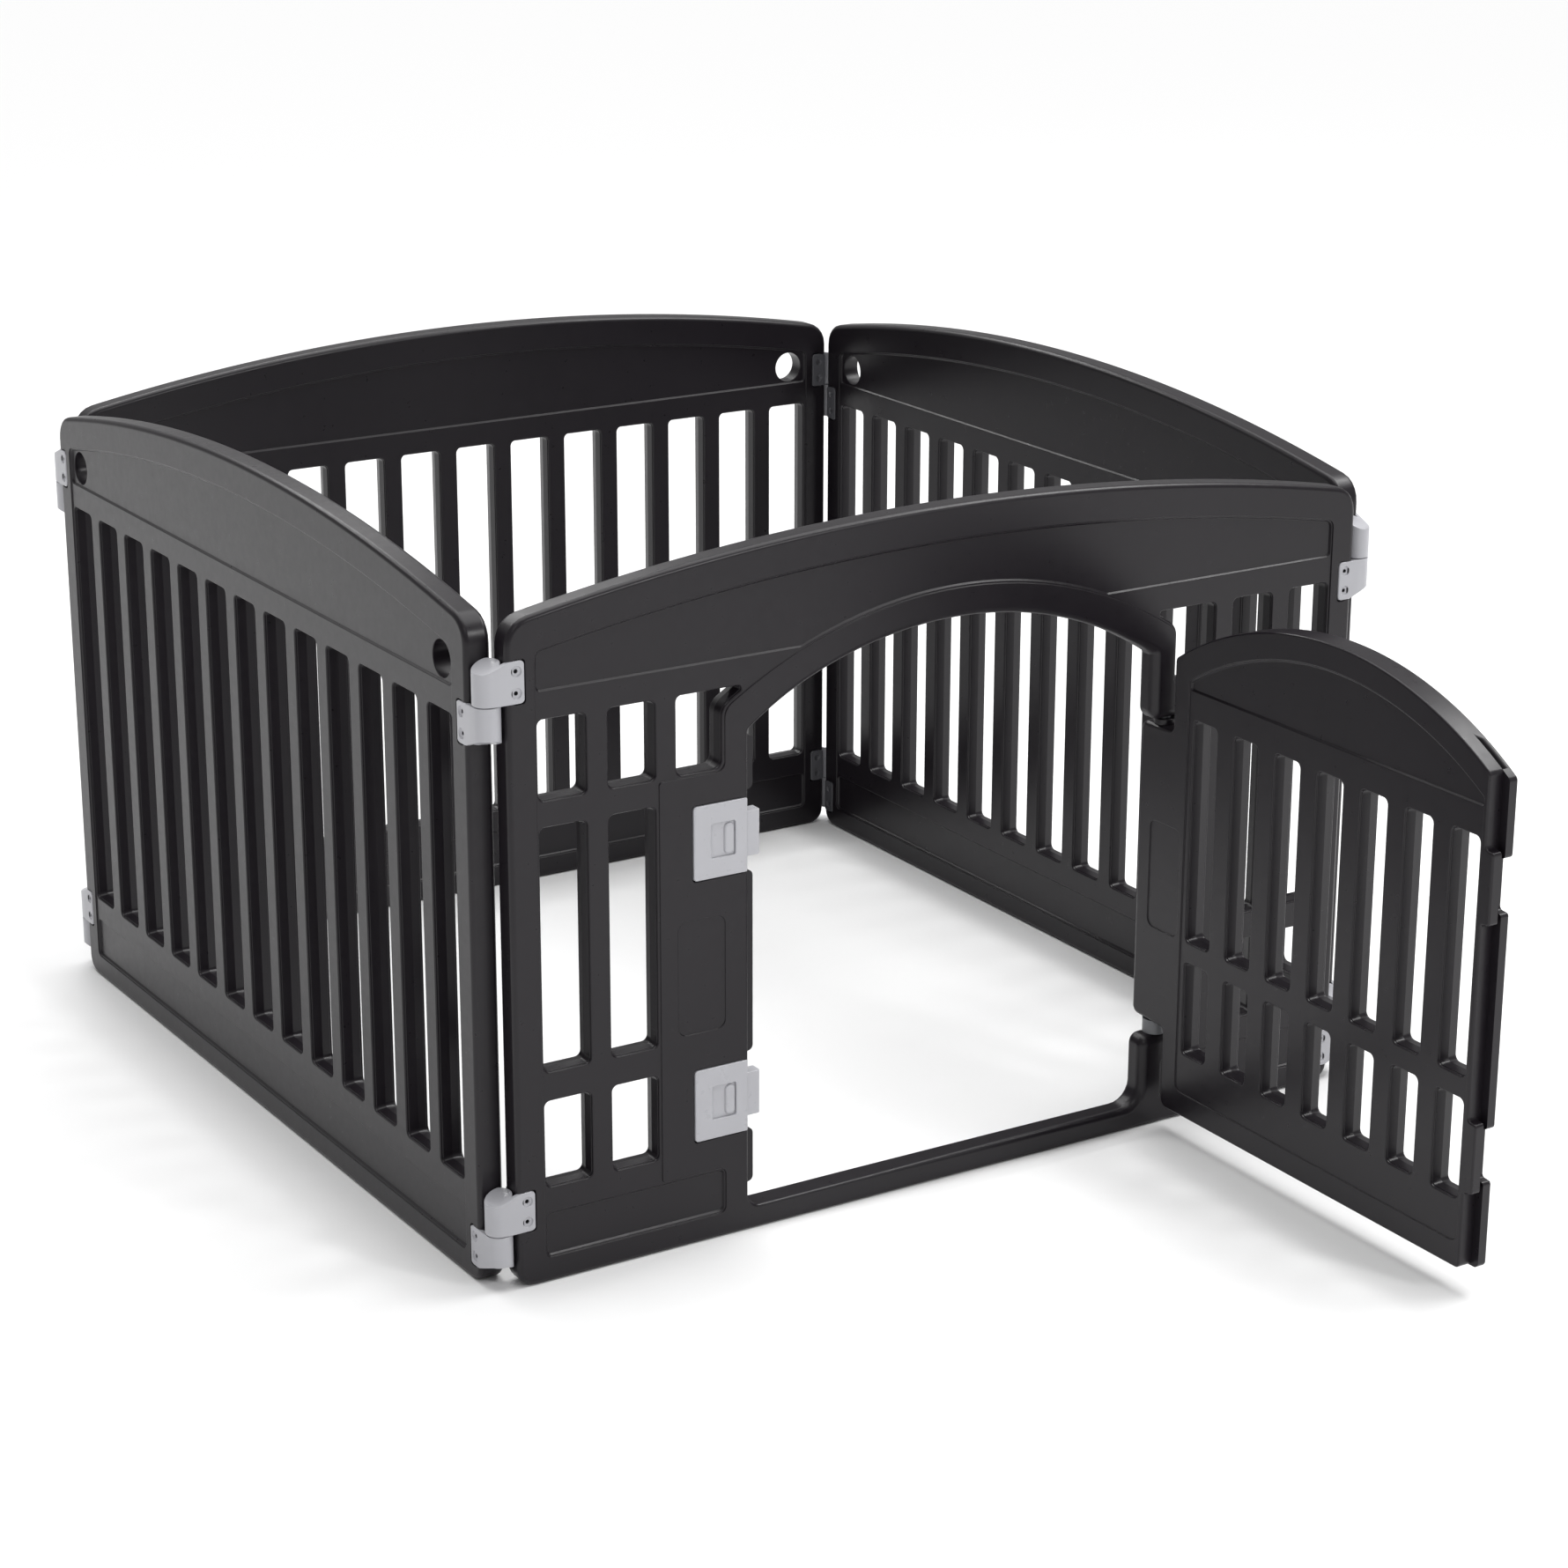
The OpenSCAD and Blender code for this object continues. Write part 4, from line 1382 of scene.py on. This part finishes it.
@dataclass
class Hardware:
    """CAD nodes whose shape is already right: pins, collar and latch screws."""

    def make(self, shop: Workshop) -> None:
        """Dresses the nodes that stay."""
        for node in ("door_pivot_pin_upper", "door_pivot_pin_lower"):
            shop.dress(node, shop.finishes.pin)
        shop.dress("door_pivot_collar", shop.finishes.collar)
        shop.dress("latch_screws", shop.finishes.screw)


# ---------------------------------------------------------------- studio


@dataclass(frozen=True)
class SoftBox:
    """A rectangular studio light."""

    name: str
    at: tuple[float, float, float]
    aim: tuple[float, float, float]
    size: tuple[float, float]
    power: float

    def make(self) -> None:
        """Hangs the light."""
        data = bpy.data.lights.new(self.name, "AREA")
        data.shape = "RECTANGLE"
        data.size, data.size_y = self.size
        data.energy = self.power
        hang(self.name, data, self.at, self.aim)


@dataclass(frozen=True)
class Overhead:
    """A large, even overhead light, the same all over the floor."""

    name: str
    at: tuple[float, float, float]
    strength: float
    spread: float

    def make(self) -> None:
        """Hangs the light."""
        data = bpy.data.lights.new(self.name, "SUN")
        data.energy = self.strength
        data.angle = math.radians(self.spread)
        hang(self.name, data, self.at, (0.0, 0.0, 0.0))


def hang(name: str, data: bpy.types.Light, at: Sequence[float], aim: Sequence[float]) -> None:
    """Puts a light in the scene, turned towards a point."""
    lamp = bpy.data.objects.new(name, data)
    lamp.location = at
    lamp.rotation_euler = (Vector(aim) - Vector(at)).to_track_quat("-Z", "Y").to_euler()
    bpy.context.scene.collection.objects.link(lamp)


@dataclass(frozen=True)
class Studio:
    """The pale floor, the soft light and the camera."""

    eye: tuple[float, float, float] = (-1.68634, -2.44081, 1.33401)
    yaw: float = 31.915
    pitch: float = 18.112
    roll: float = 0.107
    lens: float = 84.27
    shift: tuple[float, float] = (0.00054, -0.0037)
    floor_size: float = 60.0
    world: float = 0.36
    lights: tuple[SoftBox | Overhead, ...] = (
        Overhead("overhead", (0.8, 0.8, 4.6), 2.36, 65.0),
        SoftBox("key_box", (-2.0, -2.6, 3.3), (0.1, 0.1, 0.3), (1.0, 0.7), 10.0),
        SoftBox("ledge_box", (1.9, -0.4, 2.9), (0.0, 0.0, 0.4), (1.8, 0.8), 42.0),
        SoftBox("rim_box", (-0.2, 3.2, 2.6), (0.0, 0.2, 0.4), (2.8, 0.35), 28.0),
        SoftBox("edge_box", (1.2, -3.0, 2.2), (0.2, 0.0, 0.4), (0.45, 0.8), 26.0),
    )

    def camera(self) -> None:
        """Sets up the camera."""
        data = bpy.data.cameras.new("camera")
        data.lens = self.lens
        data.sensor_width = 36.0
        data.shift_x, data.shift_y = self.shift
        data.clip_end = 100.0
        camera = bpy.data.objects.new("camera", data)
        turn = (Matrix.Rotation(math.radians(-self.yaw), 4, "Z")
                @ Matrix.Rotation(math.radians(90 - self.pitch), 4, "X")
                @ Matrix.Rotation(math.radians(self.roll), 4, "Z"))
        camera.matrix_world = Matrix.Translation(self.eye) @ turn
        bpy.context.scene.collection.objects.link(camera)
        bpy.context.scene.camera = camera

    def backdrop(self) -> None:
        """Lays the floor and lights the room."""
        half = self.floor_size / 2
        data = bpy.data.meshes.new("floor")
        data.from_pydata([(-half, -half, 0), (half, -half, 0), (half, half, 0), (-half, half, 0)],
                         [], [(0, 1, 2, 3)])
        floor = bpy.data.objects.new("floor", data)
        bpy.context.scene.collection.objects.link(floor)
        paper = bpy.data.materials.new("matt_white_paper")
        paper.use_nodes = True
        shader = paper.node_tree.nodes["Principled BSDF"]
        shader.inputs["Base Color"].default_value = linear("#f4f4f4")
        shader.inputs["Roughness"].default_value = 0.9
        shader.inputs["Specular IOR Level"].default_value = 0.1
        data.materials.append(paper)
        world = bpy.data.worlds.new("studio")
        world.use_nodes = True
        tree = world.node_tree
        room = tree.nodes["Background"]
        room.inputs["Color"].default_value = (1, 1, 1, 1)
        room.inputs["Strength"].default_value = self.world
        wall = add_node(tree, "ShaderNodeBackground", sockets={"Color": (1, 1, 1, 1)})
        mixed = add_node(tree, "ShaderNodeMixShader", {
            "Fac": add_node(tree, "ShaderNodeLightPath").outputs["Is Camera Ray"],
            1: room.outputs["Background"], 2: wall.outputs["Background"]})
        tree.links.new(mixed.outputs["Shader"], tree.nodes["World Output"].inputs["Surface"])
        bpy.context.scene.world = world

    def make(self) -> None:
        """Builds the whole studio."""
        self.camera()
        self.backdrop()
        for light in self.lights:
            light.make()
        bpy.context.scene.view_settings.view_transform = "Standard"


def main() -> None:
    """Builds the pen in order."""
    logging.basicConfig(level=logging.INFO, format="%(name)s: %(message)s")
    Studio().make()
    shop = Workshop(Finishes())
    FrontFrame().make(shop)
    for side in (Side.LEFT, Side.BACK, Side.RIGHT):
        PlainPanel(side).make(shop)
    Door().make(shop)
    for side in Side:
        Hinges(side).make(shop)
    for name, level in zip(("lower", "upper"), LATCH.levels):
        Latch(name, level).make(shop)
    Hardware().make(shop)


if __name__ == "__main__":
    main()
